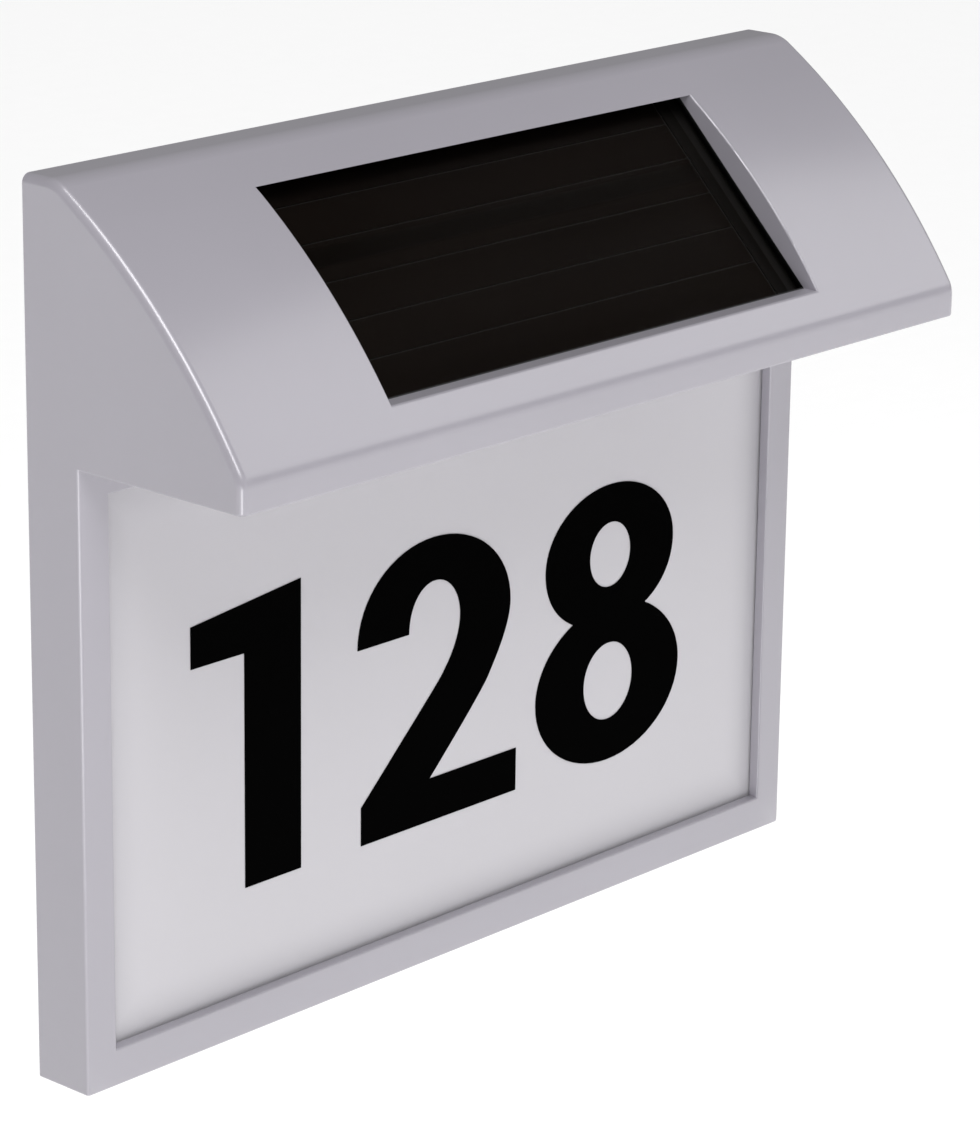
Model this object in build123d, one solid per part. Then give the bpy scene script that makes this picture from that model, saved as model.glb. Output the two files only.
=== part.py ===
from build123d import *
from math import atan2, pi, sqrt
import os

# Solar house number sign: a thin framed sign under a hood that holds a solar panel, a
# battery and a row of lamps.  X runs to the right, Y into the wall and Z up.  The origin
# is the middle of the back face.  All lengths are in millimetres.

# ---------------------------------------------------------------- housing
sign_width = 200.0
sign_height = 170.0
body_depth = 13.2
hood_depth = 54.0
hood_height = 51.0          # underside of the hood to the flat top
lip_height = 6.0            # upright front edge of the hood
top_depth = 8.05            # flat strip along the wall
roof_bulge = 3.7            # rise of the curved roof over its chord
wall = 2.0
top_round = 8.0
lip_round = 5.5
end_round = 1.7
lower_break = 0.5           # bevel of the lower edges
rim_round = 0.4             # rims of the window and of the sign opening
cut_past = 1.0              # how far a cut runs past the face that it opens

# ---------------------------------------------------------------- sign panel
frame_margin = 7.3          # width of the frame round the sign, left, right and below
frame_top_margin = 5.8      # width of the frame bar under the hood
frame_flange = 2.2
panel_thickness = 3.0
panel_overlap = 1.8         # how far the panel reaches behind the frame
panel_seal_thickness = 0.4
panel_seal_inset = 0.5
locator_width = 1.2
locator_count = 5
panel_clearance = 0.3
panel_corner = 1.0

# ---------------------------------------------------------------- rear cover
cover_thickness = 2.0
cover_rebate = 1.0          # step round the back opening of the housing
cover_clearance = 0.2
cover_seal_thickness = 0.4
rib_thickness = 1.4
rib_inset = 1.6             # pressing rib, in from the edge of the panel
hook_count = 3
hook_pitch = 62.0
hook_width = 12.0
hook_length = 4.2
hook_thickness = 1.5
catch_wall = 1.4
catch_clearance = 0.25
cover_screw_from_end = 14.0
cover_screw_above_floor = 12.0
cover_screw_below_top = 11.0
cover_cup_depth = 3.2
cover_cup_room = 1.0        # room round the screw head in its cup
cover_boss_radius = 3.5
keyhole_spacing = 120.0
keyhole_entry_radius = 4.5
keyhole_slot_radius = 2.25
keyhole_rise = 7.0
keyhole_above_floor = 24.0
keyhole_pocket_depth = 4.2
keyhole_pocket_margin = 0.6
shroud_wall = 1.2

# ---------------------------------------------------------------- solar panel
window_width = 119.4
window_above_floor = 11.3
window_below_top = 5.9
glass_sink = 3.0            # glass below the rim of the window
glass_thickness = 2.0
glass_seat_side = 2.3
glass_seat_low = 2.5
glass_seat_high = 3.0
glass_clearance = 0.3
glass_seal_thickness = 0.6
cell_count = 6
cell_gap = 0.35
cell_thickness = 0.3
cell_left_margin = 4.4
cell_right_margin = 7.5
cell_top_margin = 0.35
cell_low_margin = 3.2
contact_width = 3.2
contact_gap = 0.7
backing_thickness = 1.0
tray_wall = 1.5
tray_base = 2.0
tray_lip_sink = 1.4         # lip of the tray below the face of the glass
tray_ledge = 6.0
tray_boss_radius = 3.0
tray_boss_clearance = 0.4
tray_ear_radius = 3.6
tray_ear_spacing = 30.0

# ---------------------------------------------------------------- lamps
lens_length = 84.0
lens_width = 11.0
lens_flange = 2.5
lens_flange_thickness = 1.2
lens_from_lip = 18.0        # front of the hood to the middle of the lens
lens_clearance = 0.2
lamp_count = 4
lamp_pitch = 20.0
lamp_length = 3.5
lamp_width = 2.8
lamp_height = 1.9
lamp_cup_radius = 1.05
lamp_cup_depth = 0.4
lamp_to_lens = 1.0
lamp_board_width = 10.0
lamp_board_thickness = 1.2
lamp_post_radius = 2.8
lamp_post_gap = 0.5         # flange of the lens to the post of the lamp board
lamp_board_past_screw = 4.2

# ---------------------------------------------------------------- battery
battery_radius = 7.1
battery_length = 50.5
battery_bevel = 0.6
battery_nub_radius = 2.6
battery_nub_length = 1.2
battery_room = 0.4          # room round the battery in its bay
battery_above_floor = 17.0
spring_room = 7.7           # end of the bay that the spring takes up
bay_wall = 1.5
door_step = 2.6             # seat of the door round the bay
door_tab = 8.0              # reach of the door past the bay, for its screw
door_thickness = 2.0
door_sink = 0.3
door_clearance = 0.3
door_seal_thickness = 0.5
door_post_radius = 2.9
contact_thickness = 0.4
contact_height = 11.0
spring_wire = 0.8
spring_seat = 0.24          # how deep the first turn is pressed into its plate
spring_end_gap = 0.4
spring_big_radius = 4.6
spring_small_radius = 2.6
spring_turns = 3

# ---------------------------------------------------------------- circuit board
board_length = 34.0
board_width = 20.0
board_thickness = 1.6
board_gap = 1.8             # screw post of the battery door to the board
board_above_floor = 13.5    # underside of the hood to the middle of the board
board_stand_off = 7.0
board_post_radius = 2.6
board_hole_inset = 3.2

# ---------------------------------------------------------------- parts on the circuit board
# Each place is an offset (X, Z) from the middle of the board, each size is along X, Z and Y.
chip_place = (2.0, 2.0)
chip_size = (5.0, 4.0, 1.5)
inductor_place = (-10.0, 3.0)
inductor_radius = 3.2
inductor_height = 4.5
inductor_flange = 1.0
inductor_groove = 0.7
capacitor_place = (13.0, 1.0)
capacitor_radius = 2.5
capacitor_height = 7.0
resistor_place = (-4.0, -2.5)
resistor_pitch = 3.2
resistor_count = 4
resistor_size = (2.0, 1.25, 0.5)
socket_place = (-8.5, -6.5)
socket_pitch = 8.5
socket_count = 3
socket_size = (6.0, 4.8, 6.0)
socket_wall = 0.6
socket_base = 1.0

# ---------------------------------------------------------------- switch
switch_gap = 7.7            # end of the battery bay to the ear of the switch
switch_above_floor = 11.5
switch_travel = 3.0
switch_case_length = 14.0
switch_case_width = 7.0
switch_case_depth = 5.0
switch_case_wall = 1.0
switch_ear = 4.5
switch_ear_thickness = 0.8
switch_pocket_margin = 2.0
switch_pocket_depth = 3.6
switch_pocket_wall = 1.4
slider_width = 3.6
slider_length = 4.0
slider_sink = 0.9           # tip of the slider below the wall plane
slider_clearance = 0.3
carrier_length = 7.0
carrier_thickness = 1.2
groove_count = 3
groove_width = 0.5
groove_depth = 0.4

# ---------------------------------------------------------------- leads
lead_radius = 0.6           # one core
pair_radius = 0.9           # two cores in one sleeve
lead_sides = 5
lead_bend = 3.5
lead_spacing = 2.2          # two leads side by side in one plug
lead_clear = 7.0            # how far a lead runs straight out of what it is joined to
plug_past = 1.0             # plug past the mouth of its socket
plug_clearance = 0.15
tab_width = 3.0
tab_past = 2.2              # tab of a battery contact past the wall of the bay
tab_clearance = 0.2
solar_lead_from_end = 8.0   # end of the glass to the lead of the cells
solar_lead_above_low = 14.0
lamp_lead_inside = 5.8      # screw of the lamp board to its lead
switch_pin_pitch = 7.0

# ---------------------------------------------------------------- screws
# each: shank radius, length, head radius, head height
cover_screw = (1.35, 16.0, 2.8, 1.9)
tray_screw = (1.1, 5.4, 2.2, 1.5)
small_screw = (0.9, 5.0, 1.8, 1.2)
door_screw = (1.1, 8.0, 2.2, 1.2)
switch_screw = (0.9, 1.8, 1.8, 1.2)
screw_sides = 12            # screws, their bosses and their holes are twelve-sided
pilot_clearance = 0.08
pilot_extra = 1.0           # pilot holes run on past the end of the screw
pass_clearance = 0.3

# ---------------------------------------------------------------- derived places
half_width = sign_width / 2
half_height = sign_height / 2
floor_z = half_height - hood_height
lip_top = floor_z + lip_height
inner_floor = floor_z + wall
inner_half_width = half_width - wall
inner_low = -half_height + wall

flange_back = -body_depth + frame_flange
panel_front = flange_back + panel_seal_thickness
panel_back = panel_front + panel_thickness
opening_half_width = half_width - frame_margin
opening_low = -half_height + frame_margin
opening_high = floor_z - frame_top_margin
panel_half_width = opening_half_width + panel_overlap
panel_low = opening_low - panel_overlap
panel_high = opening_high + panel_overlap

cover_front = -cover_thickness
ledge_y = cover_front - cover_seal_thickness
cup_seat = -cover_cup_depth
boss_end = cup_seat - cover_thickness
cover_screw_x = half_width - cover_screw_from_end
cover_screw_heights = (floor_z + cover_screw_above_floor, half_height - cover_screw_below_top)
cover_screw_places = [(side * cover_screw_x, z) for side in (-1, 1) for z in cover_screw_heights]
hook_places = [(step - (hook_count - 1) / 2) * hook_pitch for step in range(hook_count)]
keyhole_z = floor_z + keyhole_above_floor

window_low = floor_z + window_above_floor
window_high = half_height - window_below_top
window_half_width = window_width / 2

lens_y = lens_from_lip - hood_depth
lamp_board_low = inner_floor + lens_flange_thickness + lamp_to_lens + lamp_height
lamp_screw_x = lens_length / 2 + lens_flange + lamp_post_gap + lamp_post_radius
lamp_board_half = lamp_screw_x + lamp_board_past_screw

bay_length = battery_length + contact_thickness + spring_room
bay_width = 2 * (battery_radius + battery_room)
battery_z = floor_z + battery_above_floor
door_inner = -door_sink - door_thickness
step_y = door_inner - door_seal_thickness
bay_front = step_y - bay_width
battery_y = step_y - bay_width / 2
door_screw_x = bay_length / 2 + (door_step + door_tab) / 2
door_body_end = bay_length / 2 + door_tab + bay_wall

board_x = -(door_screw_x + door_post_radius + board_gap + board_length / 2)
board_z = floor_z + board_above_floor
board_back = cover_front - board_stand_off
board_front = board_back - board_thickness
board_screw_reach = (board_length / 2 - board_hole_inset, board_width / 2 - board_hole_inset)
board_screw_places = [
    (board_x + side * board_screw_reach[0], board_z + side * board_screw_reach[1]) for side in (-1, 1)]

switch_x = door_body_end + switch_gap + switch_ear + switch_case_length / 2
switch_z = floor_z + switch_above_floor
switch_face_y = -switch_pocket_depth - switch_pocket_wall
switch_screw_places = [
    (switch_x + side * (switch_case_length + switch_ear) / 2, switch_z) for side in (-1, 1)]
slot_half_length = (slider_length + switch_travel) / 2 + slider_clearance
slot_half_width = slider_width / 2 + slider_clearance
carrier_back = switch_face_y - switch_case_wall
switch_front = switch_face_y - switch_case_depth

socket_z = board_z + socket_place[1]
socket_xs = [board_x + socket_place[0] + step * socket_pitch for step in range(socket_count)]
plug_front = board_front - socket_size[2] - plug_past
tab_y_span = (battery_y - contact_height / 2, battery_y - contact_height / 2 + tab_width)
tab_end = bay_length / 2 + bay_wall + tab_past
tab_lead_x = tab_end - lead_radius


# ---------------------------------------------------------------- simple forms
def span_box(x_span, y_span, z_span):
    """Box between two values along each axis."""
    spans = (x_span, y_span, z_span)
    middle = [(low + high) / 2 for low, high in spans]
    return Pos(*middle) * Box(*[high - low for low, high in spans])


def rod_y(radius, x, z, y_span):
    """Cylinder along Y between two values of Y."""
    low, high = y_span
    return Pos(x, (low + high) / 2, z) * Rot(90, 0, 0) * Cylinder(radius, high - low)


def prism(radius, z_span):
    """Upright twelve-sided rod on the Z axis, for screws, their bosses and their holes."""
    low, high = z_span
    return Pos(0, 0, low) * extrude(RegularPolygon(radius, screw_sides), high - low)


def prism_y(radius, x, z, y_span):
    """Twelve-sided rod along Y between two values of Y."""
    return Pos(x, 0, z) * Rot(-90, 0, 0) * prism(radius, y_span)


def prism_z(radius, x, y, z_span):
    """Upright twelve-sided rod between two heights."""
    return Pos(x, y, 0) * prism(radius, z_span)


def group(pieces):
    """Separate solids that share one node."""
    return Compound(children=list(pieces))


def pan_screw(sizes):
    """Pan-head screw whose head sits on Z = 0 and whose shank points down."""
    shank_radius, length, head_radius, head_height = sizes
    return prism(head_radius, (0, head_height)) + prism(shank_radius, (-length, 0))


def flare(top_radius, low_radius, height):
    """Twelve-sided flare that ends at Z = 0, for a countersunk head and the hole that it lies in."""
    top = RegularPolygon(top_radius, screw_sides)
    return loft([top, Pos(0, 0, -height) * RegularPolygon(low_radius, screw_sides)], ruled=True)


def flat_screw(sizes):
    """Countersunk screw whose flat head ends at Z = 0 and whose shank points down."""
    shank_radius, length, head_radius, head_height = sizes
    head = flare(head_radius, shank_radius, head_height)
    return head + prism(shank_radius, (-length, -head_height))


# ---------------------------------------------------------------- roof and window
def roof_circle():
    """Centre (Y, Z) and radius of the arc that the roof follows."""
    low = Vector(-hood_depth, lip_top)
    high = Vector(-top_depth, half_height)
    chord = high - low
    radius = (chord.length ** 2 / 4 + roof_bulge ** 2) / (2 * roof_bulge)
    inward = Vector(chord.Y, -chord.X).normalized()
    centre = (low + high) * 0.5 + inward * (radius - roof_bulge)
    return centre.X, centre.Y, radius


def roof_y(z):
    """Y of the outside of the roof at height z."""
    centre_y, centre_z, radius = roof_circle()
    return centre_y - sqrt(radius ** 2 - (z - centre_z) ** 2)


rim_low = Vector(0, roof_y(window_low), window_low)
rim_high = Vector(0, roof_y(window_high), window_high)
rim_length = (rim_high - rim_low).length
up_slope = (rim_high - rim_low).normalized()
# Frame on the rim of the window: local Y climbs the roof, local Z points out of it.
rim_plane = Plane((rim_low + rim_high) * 0.5, x_dir=(1, 0, 0), z_dir=(0, -up_slope.Z, up_slope.Y))
window_frame = rim_plane.location
# The walls of the window run straight back, so the opening moves up the slope as it deepens.
draw_shift = glass_sink * up_slope.Y / up_slope.Z
glass_low = -rim_length / 2 + draw_shift - glass_seat_low
glass_high = rim_length / 2 + draw_shift + glass_seat_high
glass_middle = (glass_low + glass_high) / 2
glass_half_width = window_half_width + glass_seat_side
glass_under = -glass_sink - glass_thickness
cell_under = glass_under - cell_thickness
cell_left = -glass_half_width + cell_left_margin
cell_right = glass_half_width - cell_right_margin
cell_top = glass_high - cell_top_margin
cell_low = glass_low + cell_low_margin
cell_pitch = (cell_top - cell_low + cell_gap) / cell_count
backing_under = cell_under - backing_thickness
tray_under = backing_under - tray_base
tray_half_width = glass_half_width + glass_clearance + tray_wall
tray_screw_x = tray_half_width + tray_boss_clearance + tray_boss_radius
tray_screw_heights = [glass_middle + end * tray_ear_spacing / 2 for end in (-1, 1)]
tray_screw_places = [(side * tray_screw_x, y) for side in (-1, 1) for y in tray_screw_heights]


def on_slope(x_span, y_span, z_span):
    """Box in the frame of the window."""
    return window_frame * span_box(x_span, y_span, z_span)


def glass_zone(grow, z_span):
    """Box in the frame of the window that is larger than the glass all round."""
    return on_slope(
        (-glass_half_width - grow, glass_half_width + grow), (glass_low - grow, glass_high + grow), z_span)


def prism_on_slope(radius, x, y, z_span):
    """Twelve-sided rod square to the glass."""
    return window_frame * Pos(x, y, 0) * prism(radius, z_span)


# ---------------------------------------------------------------- front housing
def side_outline():
    """Outside of the housing seen from its end, as a face in (Y, Z)."""
    walls = Polyline(
        (-top_depth, half_height), (0, half_height), (0, -half_height), (-body_depth, -half_height),
        (-body_depth, floor_z), (-hood_depth, floor_z), (-hood_depth, lip_top),
    )
    roof = SagittaArc((-hood_depth, lip_top), (-top_depth, half_height), roof_bulge)
    face = make_face(walls.edges() + roof.edges())
    for place, radius in (((-top_depth, half_height), top_round), ((-hood_depth, lip_top), lip_round)):
        corner = face.vertices().sort_by_distance(Vector(*place))[0]
        face = fillet(corner, radius)
    return face


def cavity_outline():
    """Hollow of the housing seen from its end: one wall in from the outside, open at the back."""
    hollow = offset(side_outline(), -wall, kind=Kind.INTERSECTION)
    open_back = Rectangle(4 * wall, 2 * (half_height - wall))
    frame_y = (-hood_depth + flange_back) / 2
    frame_zone = Pos(frame_y, (inner_floor - half_height) / 2) * Rectangle(
        flange_back + hood_depth, half_height + inner_floor)
    body_zone = Pos(flange_back / 2, (inner_floor + inner_low) / 2) * Rectangle(
        -flange_back, inner_floor - inner_low)
    return hollow + open_back - frame_zone + body_zone


def same(first, second):
    """Whether two lengths agree."""
    return abs(first - second) < 0.001


def within(value, low, high):
    """Whether a length lies between two others, or on one of them."""
    return low - 0.001 < value < high + 0.001


def outer_form():
    """The housing as a full block, with its rounded ends, its window and the opening for the sign."""
    block = extrude(Plane.YZ * side_outline(), half_width, both=True)

    def end_edge(edge):
        middle = edge.center()
        underneath = same(middle.Z, floor_z) or same(middle.Z, -half_height)
        return same(abs(middle.X), half_width) and middle.Y < 0 and not underneath

    def lower_edge(edge):
        middle = edge.center()
        on_lip = same(middle.Z, floor_z) and middle.Y < -body_depth - lower_break
        return on_lip or (same(middle.Z, -half_height) and middle.Y < 0)

    def rim_edge(edge):
        middle = edge.center()
        on_roof = within(middle.Z, window_low, window_high) and same(middle.Y, roof_y(middle.Z))
        in_window = on_roof and within(abs(middle.X), 0, window_half_width)
        on_front = same(middle.Y, -body_depth) and within(middle.Z, opening_low, opening_high)
        return in_window or (on_front and within(abs(middle.X), 0, opening_half_width))

    block = fillet(block.edges().filter_by(end_edge), end_round)
    block = chamfer(block.edges().filter_by(lower_edge), lower_break)
    block -= span_box((-window_half_width, window_half_width), (-hood_depth, 0), (window_low, window_high))
    block -= span_box(
        (-opening_half_width, opening_half_width), (-body_depth, 0), (opening_low, opening_high))
    return fillet(block.edges().filter_by(rim_edge), rim_round)


def window_well(block):
    """Walls of the window, from the roof down to the seal of the glass."""
    rim = span_box(
        (-window_half_width - wall, window_half_width + wall), (-hood_depth, 0),
        (window_low - wall, window_high + wall))
    above_seal = on_slope(
        (-half_width, half_width), (-hood_depth, hood_depth),
        (-glass_sink + glass_seal_thickness, hood_depth))
    return block & rim & above_seal


def cover_bosses(block):
    """Long screw bosses for the rear cover, each tied to the end wall by a rib."""
    bosses = Part()
    for x, z in cover_screw_places:
        bosses += prism_y(cover_boss_radius, x, z, (-hood_depth, boss_end))
        end_wall_x = inner_half_width if x > 0 else -inner_half_width
        bosses += span_box(
            sorted((x, end_wall_x)), (-hood_depth, boss_end - wall),
            (z - rib_thickness / 2, z + rib_thickness / 2))
    return block & bosses


def tray_bosses(block):
    """Bosses inside the roof that the tray of the solar panel is screwed to."""
    bosses = Part()
    for x, y in tray_screw_places:
        bosses += prism_on_slope(tray_boss_radius, x, y, (backing_under, hood_depth))
    return block & bosses


def hook_catches():
    """Staples on the bottom wall that take the hooks of the rear cover."""
    half_mouth = hook_width / 2 + catch_clearance
    half_staple = half_mouth + catch_wall
    mouth_top = inner_low + hook_thickness + 2 * catch_clearance
    y_span = (ledge_y - hook_length + catch_wall, ledge_y - catch_wall / 2)
    catches = Part()
    for x in hook_places:
        staple = span_box((x - half_staple, x + half_staple), y_span, (inner_low, mouth_top + catch_wall))
        mouth = span_box(
            (x - half_mouth, x + half_mouth), (y_span[0] - cut_past, y_span[1] + cut_past),
            (inner_low, mouth_top))
        catches += staple - mouth
    return catches


def panel_locators():
    """Short ribs that hold the sign panel in its place behind the frame."""
    ribs = Part()
    edge = panel_half_width + panel_clearance
    y_span = (flange_back, panel_back)
    for step in range(locator_count):
        share = (step + 0.5) / locator_count
        z = panel_low + share * (panel_high - panel_low)
        x = (2 * share - 1) * panel_half_width
        z_span = (z - locator_width / 2, z + locator_width / 2)
        x_span = (x - locator_width / 2, x + locator_width / 2)
        ribs += span_box((-inner_half_width, -edge), y_span, z_span)
        ribs += span_box((edge, inner_half_width), y_span, z_span)
        ribs += span_box(x_span, y_span, (inner_low, panel_low - panel_clearance))
        ribs += span_box(x_span, y_span, (panel_high + panel_clearance, inner_floor))
    return ribs


def lamp_posts():
    """Posts on the floor of the hood that carry the lamp board."""
    z_span = (floor_z + wall / 2, lamp_board_low)
    return prism_z(lamp_post_radius, -lamp_screw_x, lens_y, z_span) + prism_z(
        lamp_post_radius, lamp_screw_x, lens_y, z_span)


def pilot_holes():
    """Holes for the screws that go into the housing."""
    holes = Part()
    cover_shank, cover_length, *_ = cover_screw
    for x, z in cover_screw_places:
        holes += prism_y(cover_shank + pilot_clearance, x, z, (cup_seat - cover_length - pilot_extra, 0))
    tray_shank, tray_length, *_ = tray_screw
    tray_hole_top = tray_under + tray_length + pilot_extra / 2
    for x, y in tray_screw_places:
        holes += prism_on_slope(tray_shank + pilot_clearance, x, y, (backing_under, tray_hole_top))
    lamp_shank, *_ = small_screw
    for side in (-1, 1):
        holes += prism_z(
            lamp_shank + pilot_clearance, side * lamp_screw_x, lens_y, (floor_z + wall / 2, lamp_board_low))
    return holes


def front_housing():
    """Moulded housing: sign frame, hood, window and everything inside that carries the other pieces."""
    block = outer_form()
    housing = block - extrude(Plane.YZ * cavity_outline(), inner_half_width, both=True)
    rebate = RectangleRounded(sign_width - 2 * cover_rebate, sign_height - 2 * cover_rebate, cover_rebate)
    housing -= extrude(Plane.XZ * rebate, -ledge_y)
    housing += window_well(block)
    housing -= glass_zone(glass_clearance, (backing_under, -glass_sink + glass_seal_thickness))
    housing -= glass_zone(
        2 * glass_clearance + tray_wall, (backing_under, -glass_sink - tray_lip_sink + glass_clearance))
    housing -= span_box(
        (-lens_length / 2, lens_length / 2), (lens_y - lens_width / 2, lens_y + lens_width / 2),
        (floor_z - cut_past, inner_floor + cut_past))
    for piece in (cover_bosses(block), tray_bosses(block), hook_catches(), panel_locators(), lamp_posts()):
        housing += piece
    return housing - pilot_holes()


# ---------------------------------------------------------------- sign panel
def sign_panel():
    """Opal sheet behind the frame."""
    panel = span_box(
        (-panel_half_width, panel_half_width), (panel_front, panel_back), (panel_low, panel_high))
    return chamfer(panel.edges().filter_by(Axis.Y), panel_corner)


def sign_panel_seal():
    """Thin foam ring between the frame and the sign panel."""
    y_span = (flange_back, panel_front)
    inset = panel_seal_inset
    ring = span_box(
        (-panel_half_width + inset, panel_half_width - inset), y_span,
        (panel_low + inset, panel_high - inset))
    hole = span_box(
        (-opening_half_width - inset, opening_half_width + inset), y_span,
        (opening_low - inset, opening_high + inset))
    return ring - hole


# ---------------------------------------------------------------- solar panel
def solar_glass():
    """Front glass of the solar panel."""
    return glass_zone(0, (glass_under, -glass_sink))


def solar_glass_seal():
    """Rubber ring between the window of the housing and the glass."""
    z_span = (-glass_sink, -glass_sink + glass_seal_thickness)
    edge = glass_clearance
    hole = on_slope(
        (-window_half_width - edge, window_half_width + edge),
        (glass_low + glass_seat_low - edge, glass_high - glass_seat_high + edge), z_span)
    return glass_zone(-edge, z_span) - hole


def solar_cells():
    """Cell strips on the back of the glass, side by side up the slope."""
    strips = []
    for step in range(cell_count):
        high = cell_top - step * cell_pitch
        y_span = (high - cell_pitch + cell_gap, high)
        strips.append(on_slope((cell_left, cell_right), y_span, (cell_under, glass_under)))
    return group(strips)


def solar_contacts():
    """Contact bar at each end of the strips."""
    left = cell_left - contact_gap
    right = cell_right + contact_gap
    x_spans = ((left - contact_width, left), (right, right + contact_width))
    return group(on_slope(x_span, (cell_low, cell_top), (cell_under, glass_under)) for x_span in x_spans)


def solar_backing():
    """Stiff sheet behind the strips."""
    return glass_zone(-glass_clearance, (backing_under, cell_under))


def solar_tray():
    """Tray that presses the solar panel against its seal, with an ear for each of its screws."""
    tray = glass_zone(glass_clearance + tray_wall, (tray_under, -glass_sink - tray_lip_sink))
    for x, y in tray_screw_places:
        wall_x = tray_half_width - tray_wall if x > 0 else tray_wall - tray_half_width
        ear = on_slope(
            sorted((x, wall_x)), (y - tray_ear_radius, y + tray_ear_radius), (tray_under, backing_under))
        tray += ear + prism_on_slope(tray_ear_radius, x, y, (tray_under, backing_under))
    tray -= glass_zone(glass_clearance, (backing_under, 0))
    tray -= glass_zone(-tray_ledge, (tray_under - cut_past, 0))
    for x, y in tray_screw_places:
        tray -= prism_on_slope(
            tray_screw[0] + pass_clearance, x, y, (tray_under - cut_past, backing_under + cut_past))
    return tray


def solar_tray_screws():
    """Screws that hold the tray under the roof."""
    upside_down = Rot(180, 0, 0) * pan_screw(tray_screw)
    return group(window_frame * Pos(x, y, tray_under) * upside_down for x, y in tray_screw_places)


# ---------------------------------------------------------------- lamps
def light_lens():
    """Clear strip in the underside of the hood, with a flange that rests on its floor."""
    half_length = lens_length / 2
    half_lens = lens_width / 2
    flange = span_box(
        (-half_length - lens_flange, half_length + lens_flange),
        (lens_y - half_lens - lens_flange, lens_y + half_lens + lens_flange),
        (inner_floor, inner_floor + lens_flange_thickness))
    strip = span_box(
        (-half_length + lens_clearance, half_length - lens_clearance),
        (lens_y - half_lens + lens_clearance, lens_y + half_lens - lens_clearance),
        (floor_z + lens_clearance, inner_floor))
    return flange + strip


def lamp_board():
    """Narrow board over the lens, with its lamps underneath."""
    top = lamp_board_low + lamp_board_thickness
    board = span_box(
        (-lamp_board_half, lamp_board_half),
        (lens_y - lamp_board_width / 2, lens_y + lamp_board_width / 2), (lamp_board_low, top))
    for side in (-1, 1):
        board -= prism_z(
            small_screw[0] + pass_clearance, side * lamp_screw_x, lens_y,
            (lamp_board_low - cut_past, top + cut_past))
    return board


def lamps():
    """Row of lamps that shine down through the lens."""
    low = lamp_board_low - lamp_height
    row = []
    for step in range(lamp_count):
        x = (step - (lamp_count - 1) / 2) * lamp_pitch
        case = span_box(
            (x - lamp_length / 2, x + lamp_length / 2), (lens_y - lamp_width / 2, lens_y + lamp_width / 2),
            (low, lamp_board_low))
        row.append(case - prism_z(lamp_cup_radius, x, lens_y, (low - cut_past, low + lamp_cup_depth)))
    return group(row)


def lamp_board_screws():
    """Screws that hold the lamp board on its posts."""
    top = lamp_board_low + lamp_board_thickness
    return group(Pos(side * lamp_screw_x, lens_y, top) * pan_screw(small_screw) for side in (-1, 1))


# ---------------------------------------------------------------- rear cover
def cover_plate():
    """Flat plate in the rebate of the housing."""
    inset = cover_rebate + cover_clearance
    outline = RectangleRounded(sign_width - 2 * inset, sign_height - 2 * inset, cover_rebate)
    return extrude(Plane.XZ * outline, cover_thickness)


def cover_ribs():
    """Ring of ribs and two cross ribs that press the sign panel against the frame."""
    y_span = (panel_back, cover_front)
    x, low, high = panel_half_width - rib_inset, panel_low + rib_inset, panel_high - rib_inset
    ring = span_box((-x, x), y_span, (low, high))
    ring -= span_box(
        (-x + rib_thickness, x - rib_thickness), y_span, (low + rib_thickness, high - rib_thickness))
    for side in (-1, 1):
        middle = side * x / 3
        ring += span_box((middle - rib_thickness / 2, middle + rib_thickness / 2), y_span, (low, high))
    return ring


def cover_hooks():
    """Hooks along the bottom edge, which go into the staples of the housing."""
    hooks = Part()
    low = inner_low + catch_clearance
    for x in hook_places:
        x_span = (x - hook_width / 2, x + hook_width / 2)
        hooks += span_box(x_span, (ledge_y - hook_length, cover_front), (low, low + hook_thickness))
    return hooks


def cover_cups():
    """Sunk cups for the cover screws, as solids and as the hollows to cut from them."""
    cups, hollows = Part(), Part()
    cup_radius = cover_screw[2] + cover_cup_room
    for x, z in cover_screw_places:
        cups += prism_y(cup_radius + wall, x, z, (boss_end, cover_front))
        hollows += rod_y(cup_radius, x, z, (cup_seat, cut_past))
        hollows += prism_y(cover_screw[0] + pass_clearance, x, z, (boss_end - cut_past, 0))
    return cups, hollows


def keyholes():
    """Keyholes to hang the sign on two wall screws: shrouds, and the hollows to cut."""
    shrouds, hollows = Part(), Part()
    reach = keyhole_entry_radius + keyhole_pocket_margin
    low, high = keyhole_z - reach, keyhole_z + keyhole_rise + reach
    pocket_floor = cover_front - keyhole_pocket_depth
    through = (cover_front - cut_past, cut_past)
    for side in (-1, 1):
        x = side * keyhole_spacing / 2
        shrouds += span_box(
            (x - reach - shroud_wall, x + reach + shroud_wall), (pocket_floor - shroud_wall, cover_front),
            (low - shroud_wall, high + shroud_wall))
        hollows += span_box((x - reach, x + reach), (pocket_floor, cover_front), (low, high))
        hollows += rod_y(keyhole_entry_radius, x, keyhole_z, through)
        hollows += rod_y(keyhole_slot_radius, x, keyhole_z + keyhole_rise, through)
        hollows += span_box(
            (x - keyhole_slot_radius, x + keyhole_slot_radius), through,
            (keyhole_z, keyhole_z + keyhole_rise))
    return shrouds, hollows


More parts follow.
